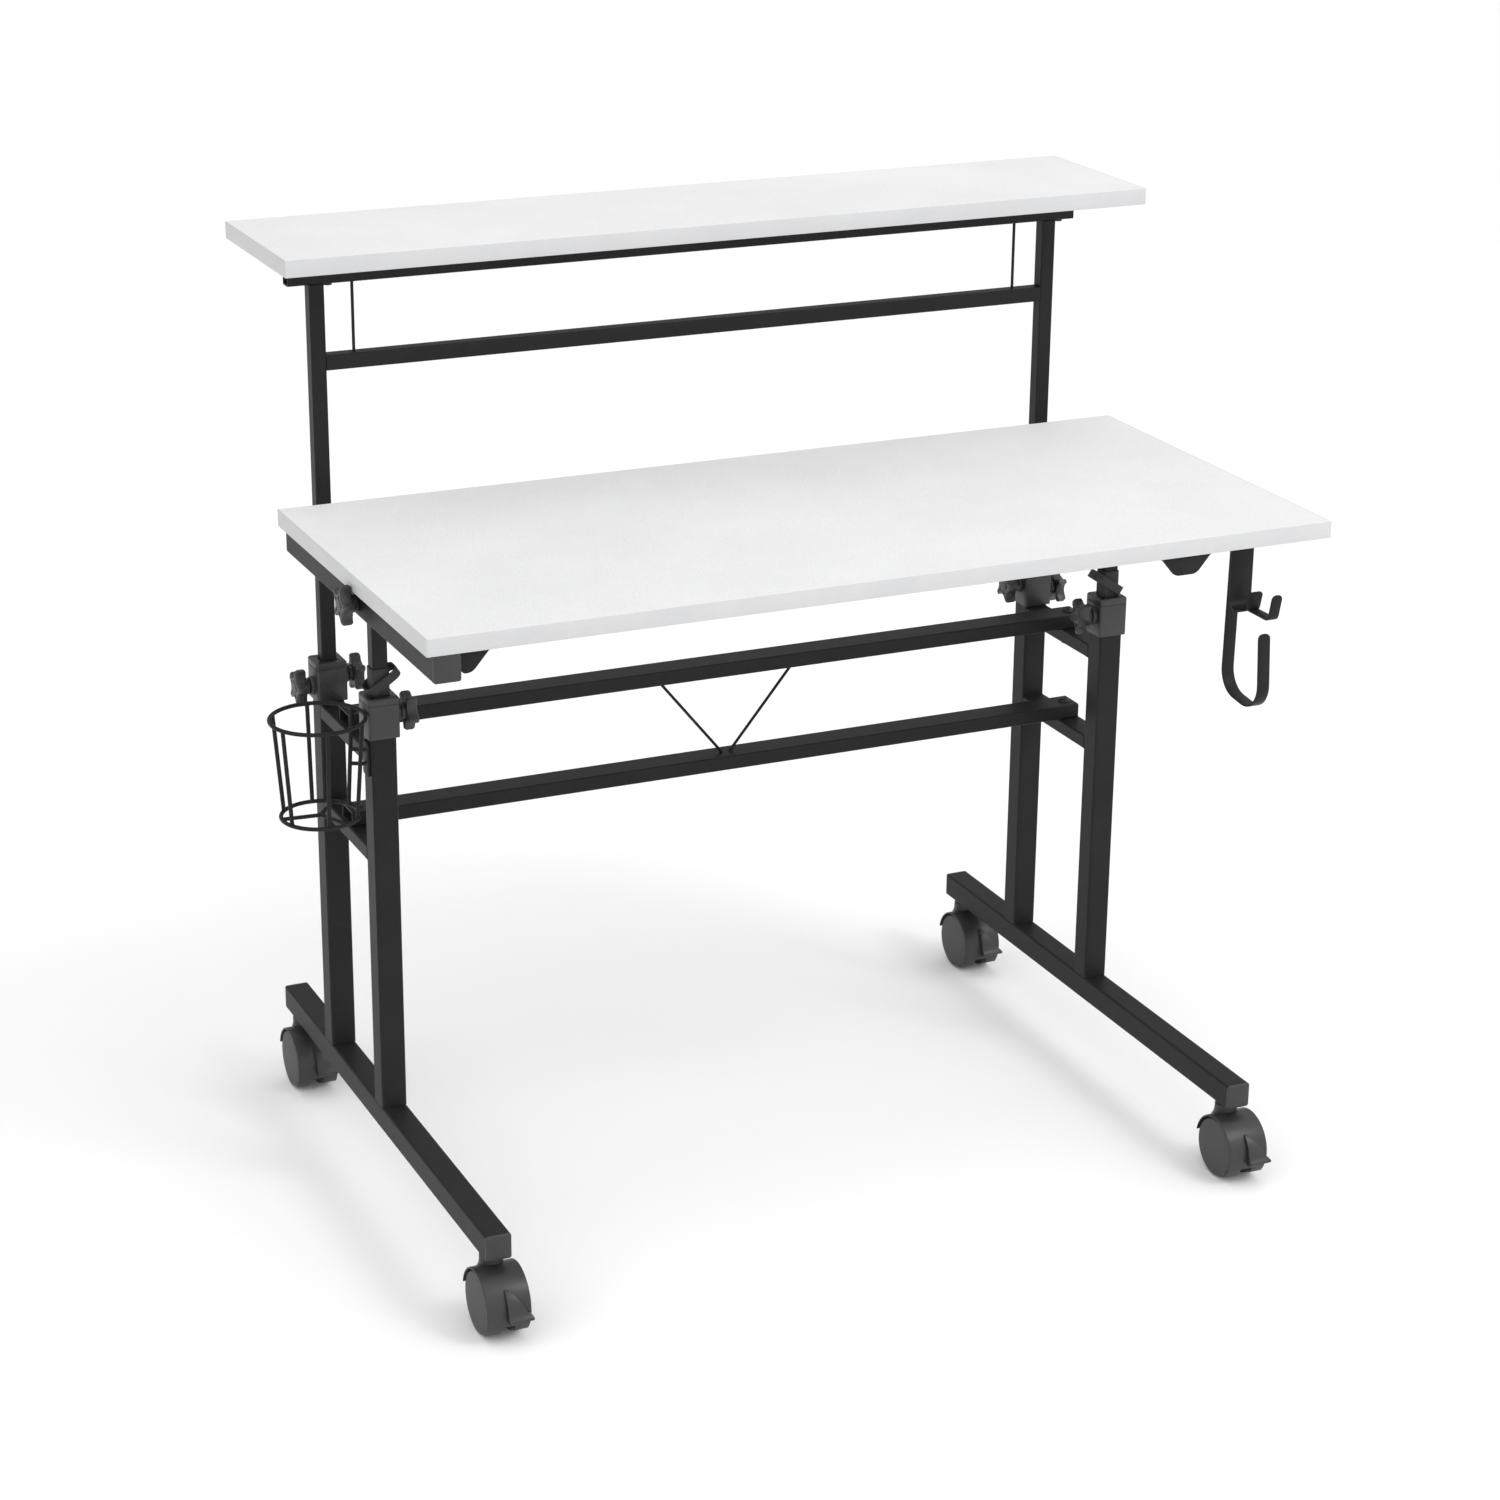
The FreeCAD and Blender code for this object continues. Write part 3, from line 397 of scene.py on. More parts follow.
def scrap(*pieces):
    """Remove patterns that have been copied."""
    for piece in pieces:
        bpy.data.objects.remove(piece)


def fit(piece, *nodes):
    """A finished piece takes the place, body and finish of the nodes that it stands for."""
    slot_name = SLOT_OF[nodes[0]]
    piece.data.materials.clear()
    piece.data.materials.append(FINISH[slot_name])
    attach(piece, BODY_OF[nodes[0]])
    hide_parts(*nodes)
    return piece


def middle_of(node_name):
    low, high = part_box(node_name)
    return (low + high) / 2


# ---------------------------------------------------------------- casters
HOOD_RADIUS = 33.2 * MM
HOOD_HALF = 21.5 * MM
SHELL = 1.6 * MM
SLOT_WIDTH = 13.6 * MM
WEB_HALF = 6.0 * MM
WHEEL_PLAY = 0.5 * MM
AXLE_BORE = 3.1 * MM
TRAIL = 14.0 * MM


def hood_pattern():
    """Caster hood round the wheel axis: a drum-shaped shell with a slot at its foot, the web with the axle
    boss, and the neck."""
    inside = HOOD_RADIUS - SHELL
    lip = 0.8 * MM
    outline = [(-HOOD_HALF, inside), (-HOOD_HALF, HOOD_RADIUS - lip), (-HOOD_HALF + lip, HOOD_RADIUS),
               (HOOD_HALF - lip, HOOD_RADIUS), (HOOD_HALF, HOOD_RADIUS - lip), (HOOD_HALF, inside),
               (WEB_HALF, inside), (WEB_HALF, 4 * MM), (-WEB_HALF, 4 * MM), (-WEB_HALF, inside)]
    shell = swept("hood_shell", outline, 12, 210, 60)
    slot = eased_block("slot", (0, -22 * MM, -26 * MM), (SLOT_WIDTH, 44 * MM, 24 * MM), Y_AXIS, 2 * MM)
    close()
    carve(shell, slot)
    soften(shell, 0.4 * MM, 2)
    boss_radius = 12 * MM
    boss = lathe("hood_boss", [(-WEB_HALF, AXLE_BORE), (-WEB_HALF, boss_radius), (WEB_HALF, boss_radius),
                               (WEB_HALF, AXLE_BORE), (-WEB_HALF, AXLE_BORE)])
    neck_foot = 24 * MM
    neck_top = 40.4 * MM
    neck = lathe("hood_neck", [(neck_foot, 0), (neck_foot, 15 * MM), (neck_foot + 5 * MM, 12.2 * MM),
                               (neck_foot + 9 * MM, 11.2 * MM), (neck_top - 0.6 * MM, 11 * MM),
                               (neck_top, 10.4 * MM), (neck_top, 5.2 * MM), (neck_top - 2 * MM, 5.2 * MM),
                               (neck_top - 2 * MM, 0)], (0, TRAIL, 0), Z_AXIS, 48)
    soften(neck, 0.3 * MM, 2)
    return join("hood_pattern", [shell, boss, neck])


def wheel_pattern():
    """One wheel, its web side at x = 0: rounded tread, then a groove round a flat, faintly crowned disc."""
    # distance outwards and radius, millimetres
    profile = [(0.3, 3.2), (0.3, 7.5), (2.0, 8.2), (2.0, 24.0), (0.4, 25.2), (0.2, 29.6), (0.9, 30.7),
               (2.0, 31.0), (9.6, 31.0), (10.5, 30.6), (10.8, 29.8), (13.1, 29.5), (13.7, 28.9), (13.9, 18.0),
               (14.1, 8.0), (14.15, 0.0)]
    piece = lathe("wheel_pattern", [(along * MM, radius * MM) for along, radius in profile], steps=88)
    return soften(piece, 0.25 * MM, 2, 30)


def axle_pattern():
    """Steel axle through the web."""
    half = 12.5 * MM
    piece = lathe("axle_pattern", [(-half, 0), (-half, 2.9 * MM), (half, 2.9 * MM), (half, 0)], steps=24)
    return soften(piece, 0.3 * MM, 1)


PEDAL_INSIDE = 33.6 * MM
PEDAL_STEPS = (
    # degrees above the front, left and right side, outer radius: millimetres
    (41, -2.4, 0.4, 34.4), (36, -2.6, 3.0, 35.4), (27, -2.6, 6.8, 36.6), (17, -2.5, 11.0, 37.6),
    (7, -2.5, 14.6, 38.2), (1, -2.4, 17.0, 38.6), (-2, -2.4, 19.6, 39.6), (-5, -2.3, 21.4, 41.6),
    (-8, -2.3, 21.3, 41.8), (-10, -2.0, 16.6, 39.4), (-14, -1.6, 15.6, 37.2),
)


def pedal_pattern():
    """Brake pedal: a wedge that starts as a point high on the hood, widens to the right and ends in a
    ledge for the toe."""
    rings = []
    for degrees, left, right, outer in PEDAL_STEPS:
        turn = math.radians(180 - degrees)
        out = Vector((0, math.cos(turn), math.sin(turn)))
        rings.append([X_AXIS * side * MM + out * radius for side, radius in
                      ((left, PEDAL_INSIDE), (right, PEDAL_INSIDE), (right, outer * MM), (left, outer * MM))])
    piece = outline_of("pedal_pattern", rings[0])
    bpy.ops.mesh.edge_face_add()
    for before, after in zip(rings, rings[1:]):
        push()
        mesh = bmesh.from_edit_mesh(piece.data)
        for vertex in [item for item in mesh.verts if item.select]:
            nearest = min(range(4), key=lambda index: (before[index] - vertex.co).length)
            vertex.co = after[nearest]
        bmesh.update_edit_mesh(piece.data)
    close()
    return soften(piece, 0.8 * MM, 3, 25)


def build_casters():
    hood = hood_pattern()
    wheel = wheel_pattern()
    axle = axle_pattern()
    pedal = pedal_pattern()
    offset = Matrix.Translation((WEB_HALF + WHEEL_PLAY, 0, 0))
    for corner in CORNERS:
        centre = Matrix.Translation(middle_of(f"caster_wheels_{corner}"))
        fit(copy_to(hood, f"hood_{corner}", centre), f"caster_hood_{corner}")
        right = copy_to(wheel, f"wheels_{corner}", centre @ offset)
        left = copy_to(wheel, "left", centre @ HALF_TURN @ offset)
        pin = copy_to(axle, "pin", centre)
        fit(join(f"wheels_{corner}", [right, left, pin]), f"caster_wheels_{corner}")
        fit(copy_to(pedal, f"pedal_{corner}", centre), f"caster_pedal_{corner}")
    scrap(hood, wheel, axle, pedal)


# ---------------------------------------------------------------- star knobs
KNOB_RADIUS = 19.0 * MM
KNOB_THICK = 11.0 * MM
LOBES = 5
SCALLOP_RADIUS = 10.4 * MM
SCALLOP_PLACE = 21.9 * MM
HUB_RADIUS = 8.3 * MM
FRONT_KNOB_LEAN = 17
OTHER_KNOB_LEAN = 41
TILT_HUB = 6.4 * MM
CLAMP_HUB = 4.0 * MM


def star_radius(angle):
    """Radius of the star's outline: round scallops between five lobes whose tips are rounded."""
    pitch = 2 * math.pi / LOBES
    off = abs((angle + pitch / 2) % pitch - pitch / 2)
    side = SCALLOP_PLACE * math.sin(off)
    if side >= SCALLOP_RADIUS:
        return KNOB_RADIUS
    valley = SCALLOP_PLACE * math.cos(off) - math.sqrt(SCALLOP_RADIUS ** 2 - side ** 2)
    sharpness = 14
    return (valley ** -sharpness + KNOB_RADIUS ** -sharpness) ** (-1 / sharpness)


def star_pattern():
    """Head of a star knob that points along +X from x = 0: five soft lobes and a raised centre."""
    piece = add("circle", "star_pattern", vertices=120, radius=KNOB_RADIUS, location=(0, 0, 0),
                rotation=(0, math.pi / 2, 0))
    mesh = bmesh.from_edit_mesh(piece.data)
    for vertex in mesh.verts:
        scale = star_radius(math.atan2(vertex.co.z, vertex.co.y)) / KNOB_RADIUS
        vertex.co.y *= scale
        vertex.co.z *= scale
    bmesh.update_edit_mesh(piece.data)
    bpy.ops.mesh.edge_face_add()
    # rise in millimetres and scale of each ring
    rings = ((0.0, 0.93), (1.6, 1 / 0.93), (6.4, 1.0), (1.6, 0.95), (0.9, 0.86))
    bpy.ops.transform.resize(value=(1, rings[0][1], rings[0][1]))
    for rise, scale in rings[1:]:
        push(x=rise * MM)
        bpy.ops.transform.resize(value=(1, scale, scale))
    bpy.ops.mesh.inset(thickness=2.4 * MM)
    push(x=-0.5 * MM)
    close()
    soften(piece, 0.5 * MM, 2, 30)
    cap = lathe("star_cap", [(4 * MM, 0), (4 * MM, 7.2 * MM), (10.0 * MM, 7.2 * MM), (10.7 * MM, 6.4 * MM),
                             (11 * MM, 4 * MM), (11 * MM, 0)], steps=48)
    soften(cap, 0.3 * MM, 2)
    return join("star_pattern", [piece, cap])


def hub(length):
    """Round hub behind a knob's head, from the head's back at x = 0 towards -X."""
    piece = lathe("hub", [(1 * MM, 0), (1 * MM, HUB_RADIUS), (0.6 * MM - length, HUB_RADIUS - 0.3 * MM),
                          (-length, HUB_RADIUS - 0.9 * MM), (-length, 0)], steps=48)
    return soften(piece, 0.3 * MM, 2)


def stud_pattern(length):
    """Threaded stud that runs along -X from the head: shallow rings stand for its thread. In millimetres."""
    pitch = 1.0
    crest = 2.9
    root = 2.45
    profile = [(0, 0.0), (0, crest)]
    count = int(length / MM / pitch) - 1
    for turn in range(count):
        profile.append((-(turn * pitch + 0.35 * pitch), root))
        profile.append((-(turn * pitch + 0.85 * pitch), crest))
    profile += [(-length / MM + 0.4, 2.4), (-length / MM, 1.8), (-length / MM, 0)]
    return lathe("stud_pattern", [(along * MM, radius * MM) for along, radius in profile], steps=20)


def build_knobs():
    star = star_pattern()
    for node_name in [name for name in frame["nodes"] if "_knob_" in name]:
        joint = JOINT[f"{node_name}_turn"]
        outward = 1 if joint["axis"][0] > 0 else -1
        low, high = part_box(node_name)
        tip = high.x if outward > 0 else low.x
        back = Vector((tip - outward * KNOB_THICK, joint["pos_m"][1], joint["pos_m"][2]))
        place = Matrix.Translation(back) @ turned(outward)
        lean_angle = FRONT_KNOB_LEAN if "front" in node_name else OTHER_KNOB_LEAN
        lean = Matrix.Rotation(math.radians(lean_angle), 4, "X")
        stud = stud_pattern(high.x - low.x - KNOB_THICK)
        collar = hub(TILT_HUB if "tilt" in node_name else CLAMP_HUB)
        for part in (stud, collar):
            part.data.transform(place)
        head = copy_to(star, node_name, place @ lean)
        fit(join(f"star_{node_name}", [head, collar, stud]), node_name)
    scrap(star)


# ---------------------------------------------------------------- collars, plugs and caps
COLLAR_SIDE = 31.0 * MM
BODY_HEIGHT = 33.0 * MM
TUBE_SIDE = 25.0 * MM
PLUG_THICK = 3.0 * MM


def collar_pattern():
    """Collar standing on z = 0: a body with a shadow line under its lid and a square bore for the tube."""
    piece = eased_block("collar_pattern", (0, 0, BODY_HEIGHT / 2), (COLLAR_SIDE, COLLAR_SIDE, BODY_HEIGHT),
                        Z_AXIS, 2.6 * MM)
    pick("faces", facing(Z_AXIS))
    shadow = 0.965
    for rise, scale in ((0.0, shadow), (0.8, 1.0), (0.0, 1 / shadow), (5.0, 1.0), (1.2, 0.94)):
        push(z=rise * MM)
        bpy.ops.transform.resize(value=(scale, scale, 1))
    bpy.ops.mesh.inset(thickness=5.6 * MM)
    push(z=-0.8 * MM)
    bpy.ops.transform.resize(value=(0.86, 0.86, 1))
    push(z=-6 * MM)
    pick("faces", lambda face: face.calc_center_median().z < 0.1 * MM)
    bpy.ops.mesh.inset(thickness=2.4 * MM)
    push(z=4 * MM)
    close()
    return soften(piece, 0.35 * MM, 2, 30)


def boss_pattern():
    """Round boss that carries a knob's stud, from x = 0 outwards."""
    piece = lathe("boss_pattern", [(-2 * MM, 3.2 * MM), (-2 * MM, 9.6 * MM), (1 * MM, 9.4 * MM),
                                   (3.2 * MM, 9.0 * MM), (4 * MM, 8.4 * MM), (4 * MM, 3.2 * MM),
                                   (-2 * MM, 3.2 * MM)], steps=48)
    return soften(piece, 0.4 * MM, 2)


def build_collars():
    collar = collar_pattern()
    boss = boss_pattern()
    for corner in CORNERS:
        end, side = corner.split("_")
        node_name = f"{end}_collar_{side}"
        leg = middle_of(f"{end}_leg_{side}")
        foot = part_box(node_name)[0].z
        parts = [copy_to(collar, f"collar_{corner}", Matrix.Translation((leg.x, leg.y, foot)))]
        for place in ("inner", "outer") if end == "rear" else ("inner",):
            joint = JOINT[f"{end}_knob_{place}_{side}_turn"]
            outward = 1 if joint["axis"][0] > 0 else -1
            at = Vector((leg.x + outward * COLLAR_SIDE / 2, joint["pos_m"][1], joint["pos_m"][2]))
            parts.append(copy_to(boss, "boss", Matrix.Translation(at) @ turned(outward)))
        fit(join(f"collar_{corner}", parts), node_name)
    scrap(collar, boss)


def plug_pattern():
    """Tube plug whose visible face looks along -Y from y = 0: a pillowed square plate."""
    pillow = 0.9 * MM
    piece = eased_block("plug_pattern", (0, (pillow + PLUG_THICK) / 2, 0),
                        (TUBE_SIDE, PLUG_THICK - pillow, TUBE_SIDE), Y_AXIS, 2.2 * MM)
    pick("faces", facing(-Y_AXIS))
    for share, scale in ((2 / 3, 0.93), (1 / 3, 0.72)):
        push(y=-pillow * share)
        bpy.ops.transform.resize(value=(scale, 1, scale))
    close()
    return soften(piece, 0.3 * MM, 2, 20)


def build_plugs():
    """Plugs in the ends of the feet and of the arms."""
    plug = plug_pattern()
    for name, cad_name, tubes in (("foot_plug_set", "foot_plugs", ("foot_left", "foot_right")),
                                  ("arm_cap_set", "arm_end_caps", ("tilt_arm_left", "tilt_arm_right"))):
        parts = []
        for tube in tubes:
            low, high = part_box(tube)
            centre = (low + high) / 2
            front = Vector((centre.x, low.y - PLUG_THICK, centre.z))
            back = Vector((centre.x, high.y + PLUG_THICK, centre.z))
            parts.append(copy_to(plug, "front_plug", Matrix.Translation(front)))
            parts.append(copy_to(plug, "back_plug", Matrix.Translation(back) @ HALF_TURN))
        fit(join(name, parts), cad_name)
    scrap(plug)


# ---------------------------------------------------------------- boards
BAND_THICK = 1.0 * MM


def build_board(name):
    """One white board and the band round its edge, both with eased corners."""
    low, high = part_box(f"{name}_board")
    board = add("cube", f"{name}_slab", size=1, location=(low + high) / 2, scale=high - low)
    close()
    soften(board, 0.15 * MM, 1)
    fit(board, f"{name}_board")
    low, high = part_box(f"{name}_edge_band")
    edge = eased_block(f"{name}_banding", (low + high) / 2, high - low, Z_AXIS, 1.6 * MM)
    pick("faces", lambda face: abs(face.normal.z) > 0.9)
    bpy.ops.mesh.inset(thickness=BAND_THICK)
    bpy.ops.mesh.bridge_edge_loops()
    close()
    soften(edge, 0.45 * MM, 3, 60)
    fit(edge, f"{name}_edge_band")


# ---------------------------------------------------------------- bent steel
STRAP_THICK = 2.0 * MM
THIN_STRAP = 1.8 * MM
HOOK_REACH = 81.0 * MM
HOOK_FLANGE = 25.0 * MM
HOOK_WIDTH = 24.0 * MM
PRONG_WIDTH = 11.0 * MM
PRONG_OFFSET = 6.4 * MM


def bent_line(points, radii, pieces=7):
    """Points of a line in the YZ plane whose corners are rounded by arcs."""
    line = [Vector(points[0])]
    for before, corner, after, radius in zip(points, points[1:], points[2:], radii):
        corner = Vector(corner)
        back = (Vector(before) - corner).normalized()
        ahead = (Vector(after) - corner).normalized()
        half = back.angle(ahead) / 2
        centre = corner + (back + ahead).normalized() * (radius / math.sin(half))
        reach = radius / math.tan(half)
        first = (corner + back * reach - centre).normalized()
        last = (corner + ahead * reach - centre).normalized()
        for step in range(pieces + 1):
            line.append(centre + first.slerp(last, step / pieces) * radius)
    line.append(Vector(points[-1]))
    return line


def strap(name, line, width, x, corner, thick=STRAP_THICK):
    """A flat steel strap bent along a line, centred on x, with rounded free ends."""
    start = x - width / 2
    points = [Vector((start, point.y, point.z)) for point in line]
    piece = chain(name, points)
    bpy.ops.mesh.select_mode(type="EDGE")
    bpy.ops.mesh.select_all(action="SELECT")
    push(x=width)
    ends = (line[0], line[-1])

    def at_an_end(vertex):
        level = Vector((0, vertex.co.y, vertex.co.z))
        return min((level - end).length for end in ends) < 0.01 * MM

    pick("verts", at_an_end)
    bpy.ops.mesh.bevel(offset=corner, segments=5, affect="VERTICES")
    close()
    modifier = piece.modifiers.new("gauge", "SOLIDIFY")
    modifier.thickness = thick
    modifier.offset = 0
    apply_last(piece)
    return soften(piece, 0.45 * MM, 2, 50)


def build_hooks():
    """The headphone hook, with its lip and prong, and the long open hook behind it."""
    low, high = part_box("headphone_hook")
    face_y = low.y + HOOK_REACH - HOOK_FLANGE
    top = high.z - STRAP_THICK / 2
    bottom = low.z + STRAP_THICK / 2
    x = (low.x + high.x) / 2

    def at(y, z):
        return Vector((0, face_y + y * MM, z))

    neck = strap("headphone_hook_neck",
                 bent_line([at(25, top), at(-0.9, top), at(-0.9, top - 16 * MM)], (3 * MM,)),
                 PRONG_WIDTH, x - PRONG_OFFSET, 1.5 * MM, THIN_STRAP)
    wide = strap("headphone_hook_strap",
                 bent_line([at(-1, top - 6 * MM), at(-1, bottom), at(-14, bottom)], (10 * MM,)),
                 HOOK_WIDTH, x, 4 * MM)
    lip = strap("headphone_hook_lip",
                bent_line([at(-8, bottom), at(-17, bottom), at(-22, bottom + 20 * MM)], (6 * MM,)),
                15 * MM, x + 4.4 * MM, 4 * MM, THIN_STRAP)
    prong = strap("headphone_hook_prong",
                  bent_line([at(-8, bottom), at(-49, bottom), at(-55, bottom + 26 * MM)], (6 * MM,)),
                  PRONG_WIDTH, x + PRONG_OFFSET, 4.5 * MM)
    fit(join("headphone_hook_steel", [wide, neck, lip, prong]), "headphone_hook")

    low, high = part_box("long_hook")
    top = high.z - STRAP_THICK / 2
    back_y = high.y - 22 * MM

    def on(y, z):
        return Vector((0, back_y + y * MM, top + z * MM))

    line = bent_line([on(22, 0), on(0, 0), on(4, -160), on(-62, -168), on(-56, -88)],
                     (9 * MM, 24 * MM, 24 * MM), 10)
    fit(strap("long_hook_steel", line, 13 * MM, (low.x + high.x) / 2, 5 * MM), "long_hook")


# ---------------------------------------------------------------- straps, tabs and bolts
SLEEVE_SIDE = 17.4 * MM
SLEEVE_HEIGHT = 27.0 * MM


def rounded_band(name, width, depth, height, thick, corner):
    """A closed band of soft strap round the Z axis, standing half above and half below z = 0."""
    piece = eased_block(name, (0, 0, 0), (width, depth, height), Z_AXIS, corner, 8)
    pick("faces", lambda face: abs(face.normal.z) > 0.9)
    bpy.ops.mesh.inset(thickness=thick)
    bpy.ops.mesh.bridge_edge_loops()
    close()
    return soften(piece, 0.4 * MM, 2, 50)


def build_stop_straps():
    """On each front collar: a short sleeve wrapped round the sliding tube, and the loose loop over it."""
    low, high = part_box("stop_straps")
    lean = math.radians(34)
    parts = []
    for side, sign in (("left", -1), ("right", 1)):
        tube = middle_of(f"front_leg_{side}")
        sleeve = rounded_band("sleeve", SLEEVE_SIDE, SLEEVE_SIDE, SLEEVE_HEIGHT, 0.9 * MM, 2.4 * MM)
        sleeve.data.transform(Matrix.Translation((tube.x, tube.y, low.z + 0.1 * MM + SLEEVE_HEIGHT / 2)))
        loop = rounded_band("loop", 37 * MM, 24 * MM, 9 * MM, 1.7 * MM, 8 * MM)
        level = (low.z + high.z) / 2
        loop.data.transform(Matrix.Translation((tube.x - sign * 2.5 * MM, tube.y, level))
                            @ Matrix.Rotation(sign * lean, 4, "Y"))
        parts += [sleeve, loop]
    fit(join("stop_strap_set", parts), "stop_straps")


def build_front_tabs():
    """Two pressed tabs under the front edge, each a sloping plate with round corners and a flange."""
    low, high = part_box("front_tabs")
    gauge = 2 * MM
    front = low.y
    parts = []
    for left, right, slope_left, slope_right, drop in (
            (low.x, low.x + 27.7 * MM, 0.4 * MM, 17 * MM, high.z - low.z),
            (high.x - 55 * MM, high.x, 16 * MM, 16 * MM, 19 * MM)):
        plate = outline_of("plate", [Vector((left, front, high.z)), Vector((right, front, high.z)),
                                     Vector((right - slope_right, front, high.z - drop)),
                                     Vector((left + slope_left, front, high.z - drop))])
        bpy.ops.mesh.edge_face_add()
        pick("verts", lambda vertex: vertex.co.z < high.z - drop / 2)
        bpy.ops.mesh.bevel(offset=4.5 * MM, segments=6, affect="VERTICES")
        bpy.ops.mesh.select_all(action="SELECT")
        push(y=gauge)
        close()
        soften(plate, 0.4 * MM, 2, 50)
        flange_centre = ((left + right) / 2, (low.y + high.y) / 2, high.z - gauge / 2)
        flange = eased_block("flange", flange_centre, (right - left, high.y - low.y, gauge), Z_AXIS, 2 * MM)
        close()
        soften(flange, 0.4 * MM, 2, 50)
        parts += [plate, flange]
    fit(join("front_tab_set", parts), "front_tabs")


def build_frame_bolts():
    """Four bolts through crossbar and rail: a domed head with a round socket above and a nut below."""
    low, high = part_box("frame_bolts")
    head_high = 3 * MM
    grip = 30 * MM
    nut_middle = (0, 0, -32.7 * MM)
    shank = lathe("shank", [(-36 * MM, 0), (-36 * MM, 2.4 * MM), (-35.4 * MM, 3 * MM), (0.2 * MM, 3 * MM),
                            (0.2 * MM, 0)], axis=Z_AXIS, steps=24)
    head = lathe("head", [(0, 0), (0, 6 * MM), (0.7 * MM, 5.95 * MM), (1.8 * MM, 5.1 * MM),
                          (2.6 * MM, 3.6 * MM), (head_high, 2.4 * MM), (head_high, 2.0 * MM),
                          (1.2 * MM, 1.9 * MM), (1.2 * MM, 0)], axis=Z_AXIS, steps=48)
    soften(head, 0.15 * MM, 2)
    nut = add("cylinder", "nut", vertices=6, radius=5.5 * MM, depth=4.4 * MM, location=nut_middle)
    pick("faces", lambda face: abs(face.normal.z) > 0.9)
    bpy.ops.mesh.inset(thickness=0.7 * MM)
    bpy.ops.transform.resize(value=(1, 1, 1.12), center_override=nut_middle)
    close()
    soften(nut, 0.25 * MM, 2, 20)
    bolt = join("bolt_pattern", [shank, head, nut])
    depth = middle_of("upper_crossbar").y
    parts = []
    for side in ("left", "right"):
        for level in (high.z - head_high, low.z + 6 * MM + grip):
            place = Matrix.Translation((middle_of(f"front_leg_{side}").x, depth, level))
            parts.append(copy_to(bolt, "bolt", place))
    fit(join("frame_bolt_set", parts), "frame_bolts")
    scrap(bolt)


# ---------------------------------------------------------------- cup basket
WIRE = 2.0 * MM
STAY_WIRE = 1.9 * MM
TOP_RADIUS = 46.5 * MM
BASE_RADIUS = 39.0 * MM
BASKET_SETBACK = 6.0 * MM


def wire_between(start, end, radius):
    """One straight wire with rounded ends."""
    run = end - start
    piece = add("cylinder", "wire", vertices=20, radius=radius, depth=run.length, location=(start + end) / 2,
                rotation=Z_AXIS.rotation_difference(run).to_euler())
    close()
    return soften(piece, radius * 0.45, 2, 50)


def compass(degrees):
    """Level direction at an angle from +X."""
    angle = math.radians(degrees)
    return Vector((math.cos(angle), math.sin(angle), 0))


def build_basket():
    """Wire cup basket: two rings, six uprights, a three-armed base and the tab on the leg."""
    low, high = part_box("cup_holder")
    top_radius = TOP_RADIUS - WIRE
    base_radius = BASE_RADIUS - WIRE
    centre_x = low.x + TOP_RADIUS
    centre_y = middle_of("front_leg_left").y - BASKET_SETBACK
    top = Vector((centre_x, centre_y, high.z - WIRE))
    base = top - Z_AXIS * 96 * MM
    parts = []
    for place, radius in ((top, top_radius), (base, base_radius)):
        parts.append(add("torus", "ring", major_radius=radius, minor_radius=WIRE, major_segments=96,
                         minor_segments=18, location=place))
        close()
        bpy.ops.object.shade_smooth()
    inset = 1.1 * MM
    for turn in range(6):
        out = compass(25 + 60 * turn)
        parts.append(wire_between(base + out * (base_radius - inset), top + out * (top_radius - inset), WIRE))
    for turn in range(3):
        out = compass(55 + 120 * turn)
        parts.append(wire_between(base - out * 1.2 * MM, base + out * (base_radius - 0.5 * MM), STAY_WIRE))
    tab_top = top.z + WIRE - 33 * MM
    tab_size = Vector((2.5, 16, 34)) * MM
    tab_centre = (high.x - tab_size.x / 2, centre_y + BASKET_SETBACK, tab_top - tab_size.z / 2)
    tab = eased_block("tab", tab_centre, tab_size, X_AXIS, 3 * MM)
    close()
    parts.append(soften(tab, 0.4 * MM, 2))
    out = compass(25)
    for drop in (10, 24):
        level = tab_top - drop * MM
        reach = base_radius - inset + (level - base.z) / (top.z - base.z) * (top_radius - base_radius)
        start = Vector((centre_x, centre_y, level)) + out * reach
        end = Vector((high.x - 1 * MM, start.y - 7 * MM, level))
        parts.append(wire_between(start, end, STAY_WIRE))
    fit(join("cup_basket_wire", parts), "cup_holder")


# ---------------------------------------------------------------- build
build_casters()
build_knobs()
build_collars()
build_plugs()
build_board("desktop")
build_board("shelf")
build_hooks()
build_stop_straps()
build_front_tabs()
build_frame_bolts()
build_basket()


# ---------------------------------------------------------------- studio and camera
FLOOR_SIZE = 200
LAMP_TARGET = Vector((0, 0, 0.5))
CAMERA_PLACE = (-1.3347, -2.9172, 1.6072)
CAMERA_YAW = 24.653
CAMERA_PITCH = -20.357
CAMERA_ROLL = 0.557


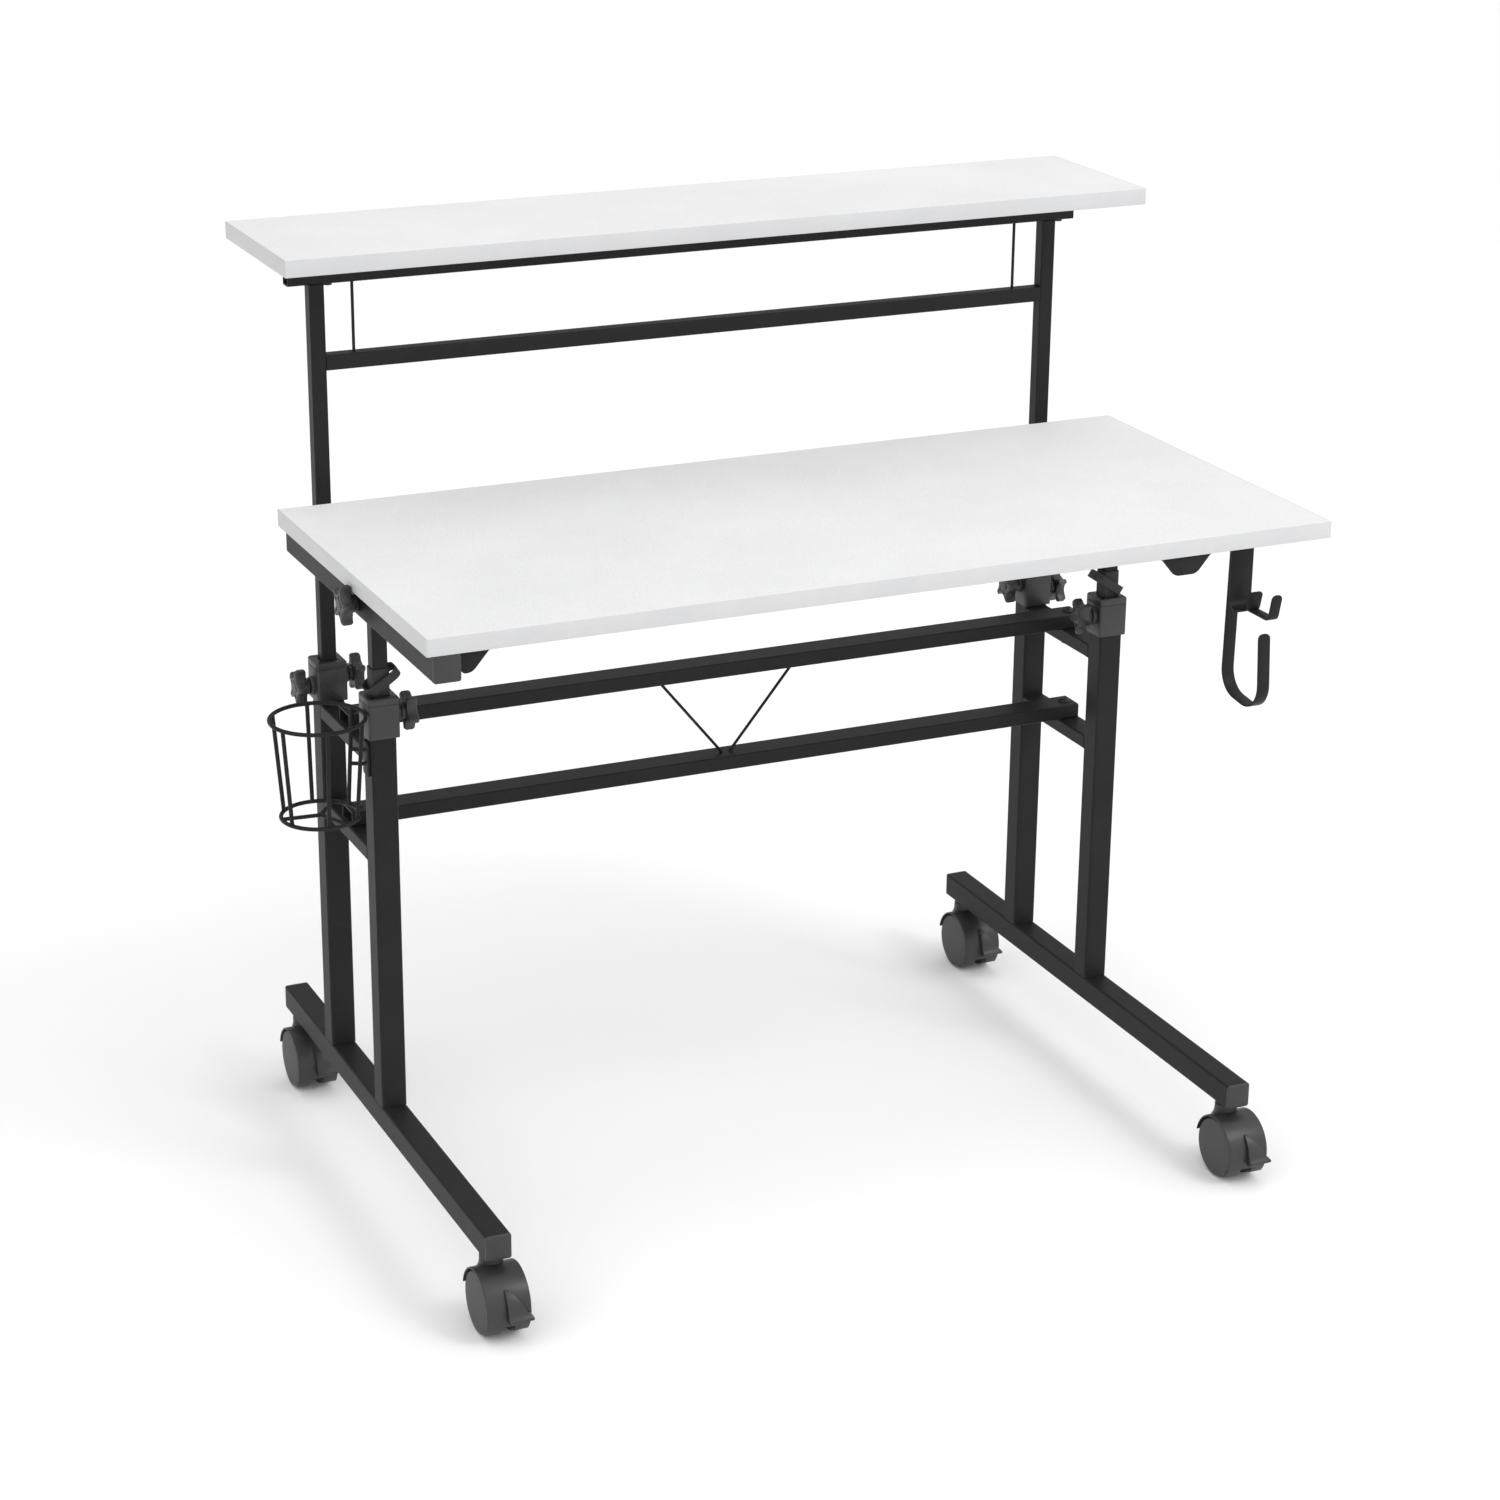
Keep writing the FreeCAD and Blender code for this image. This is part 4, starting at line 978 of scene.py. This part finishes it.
def build_studio():
    """Near-white floor, a soft white surround and two large soft lamps."""
    bpy.context.scene.view_settings.view_transform = "Standard"
    bpy.ops.object.select_all(action="DESELECT")
    bpy.ops.mesh.primitive_plane_add(size=FLOOR_SIZE, location=(0, 0, 0))
    floor = bpy.context.object
    floor.name = "studio_floor"

    def paint(place):
        cloud = place.noise(0.8, 3, 0.6)
        return {
            "Base Color": cloud.blend((0.93, 0.93, 0.93), (0.95, 0.95, 0.95)),
            "Roughness": 0.9 + cloud * 0.1,
            "Specular IOR Level": 0.1,
        }

    floor.data.materials.append(finish_material("studio_floor_paint", paint))

    world = bpy.data.worlds.new("studio_surround")
    world.use_nodes = True
    tree = world.node_tree
    direction = Shade(tree).node("ShaderNodeTexCoord", None, None, out=0)
    split = tree.nodes.new("ShaderNodeSeparateXYZ")
    tree.links.new(direction.socket, split.inputs[0])
    backward = Shade(tree, split.outputs[1])
    upward = Shade(tree, split.outputs[2])
    strength = 0.73 + upward * 0.5 - backward * 0.42
    tree.nodes["Background"].inputs["Color"].default_value = (1, 1, 1, 1)
    tree.links.new(strength.socket, tree.nodes["Background"].inputs["Strength"])
    bpy.context.scene.world = world

    # name, place, side in metres and watts
    for name, place, size, power in (("key_lamp", (1.7, -2.4, 3.0), 1.1, 32),
                                     ("side_lamp", (-3.2, -0.8, 2.6), 2.0, 8)):
        lamp = bpy.data.objects.new(name, bpy.data.lights.new(name, "AREA"))
        lamp.data.size = size
        lamp.data.energy = power
        lamp.location = place
        lamp.rotation_euler = (LAMP_TARGET - Vector(place)).to_track_quat("-Z", "Y").to_euler()
        bpy.context.scene.collection.objects.link(lamp)


def build_camera():
    """Camera ahead and to the left of the desk, looking a little down."""
    camera = bpy.data.objects.new("camera", bpy.data.cameras.new("camera"))
    camera.data.sensor_width = 36
    camera.data.lens = 83.33
    turn = (Matrix.Rotation(math.radians(-CAMERA_YAW), 4, "Z")
            @ Matrix.Rotation(math.pi / 2 + math.radians(CAMERA_PITCH), 4, "X")
            @ Matrix.Rotation(math.radians(CAMERA_ROLL), 4, "Z"))
    camera.matrix_world = Matrix.Translation(CAMERA_PLACE) @ turn
    bpy.context.scene.collection.objects.link(camera)
    bpy.context.scene.camera = camera


build_studio()
build_camera()
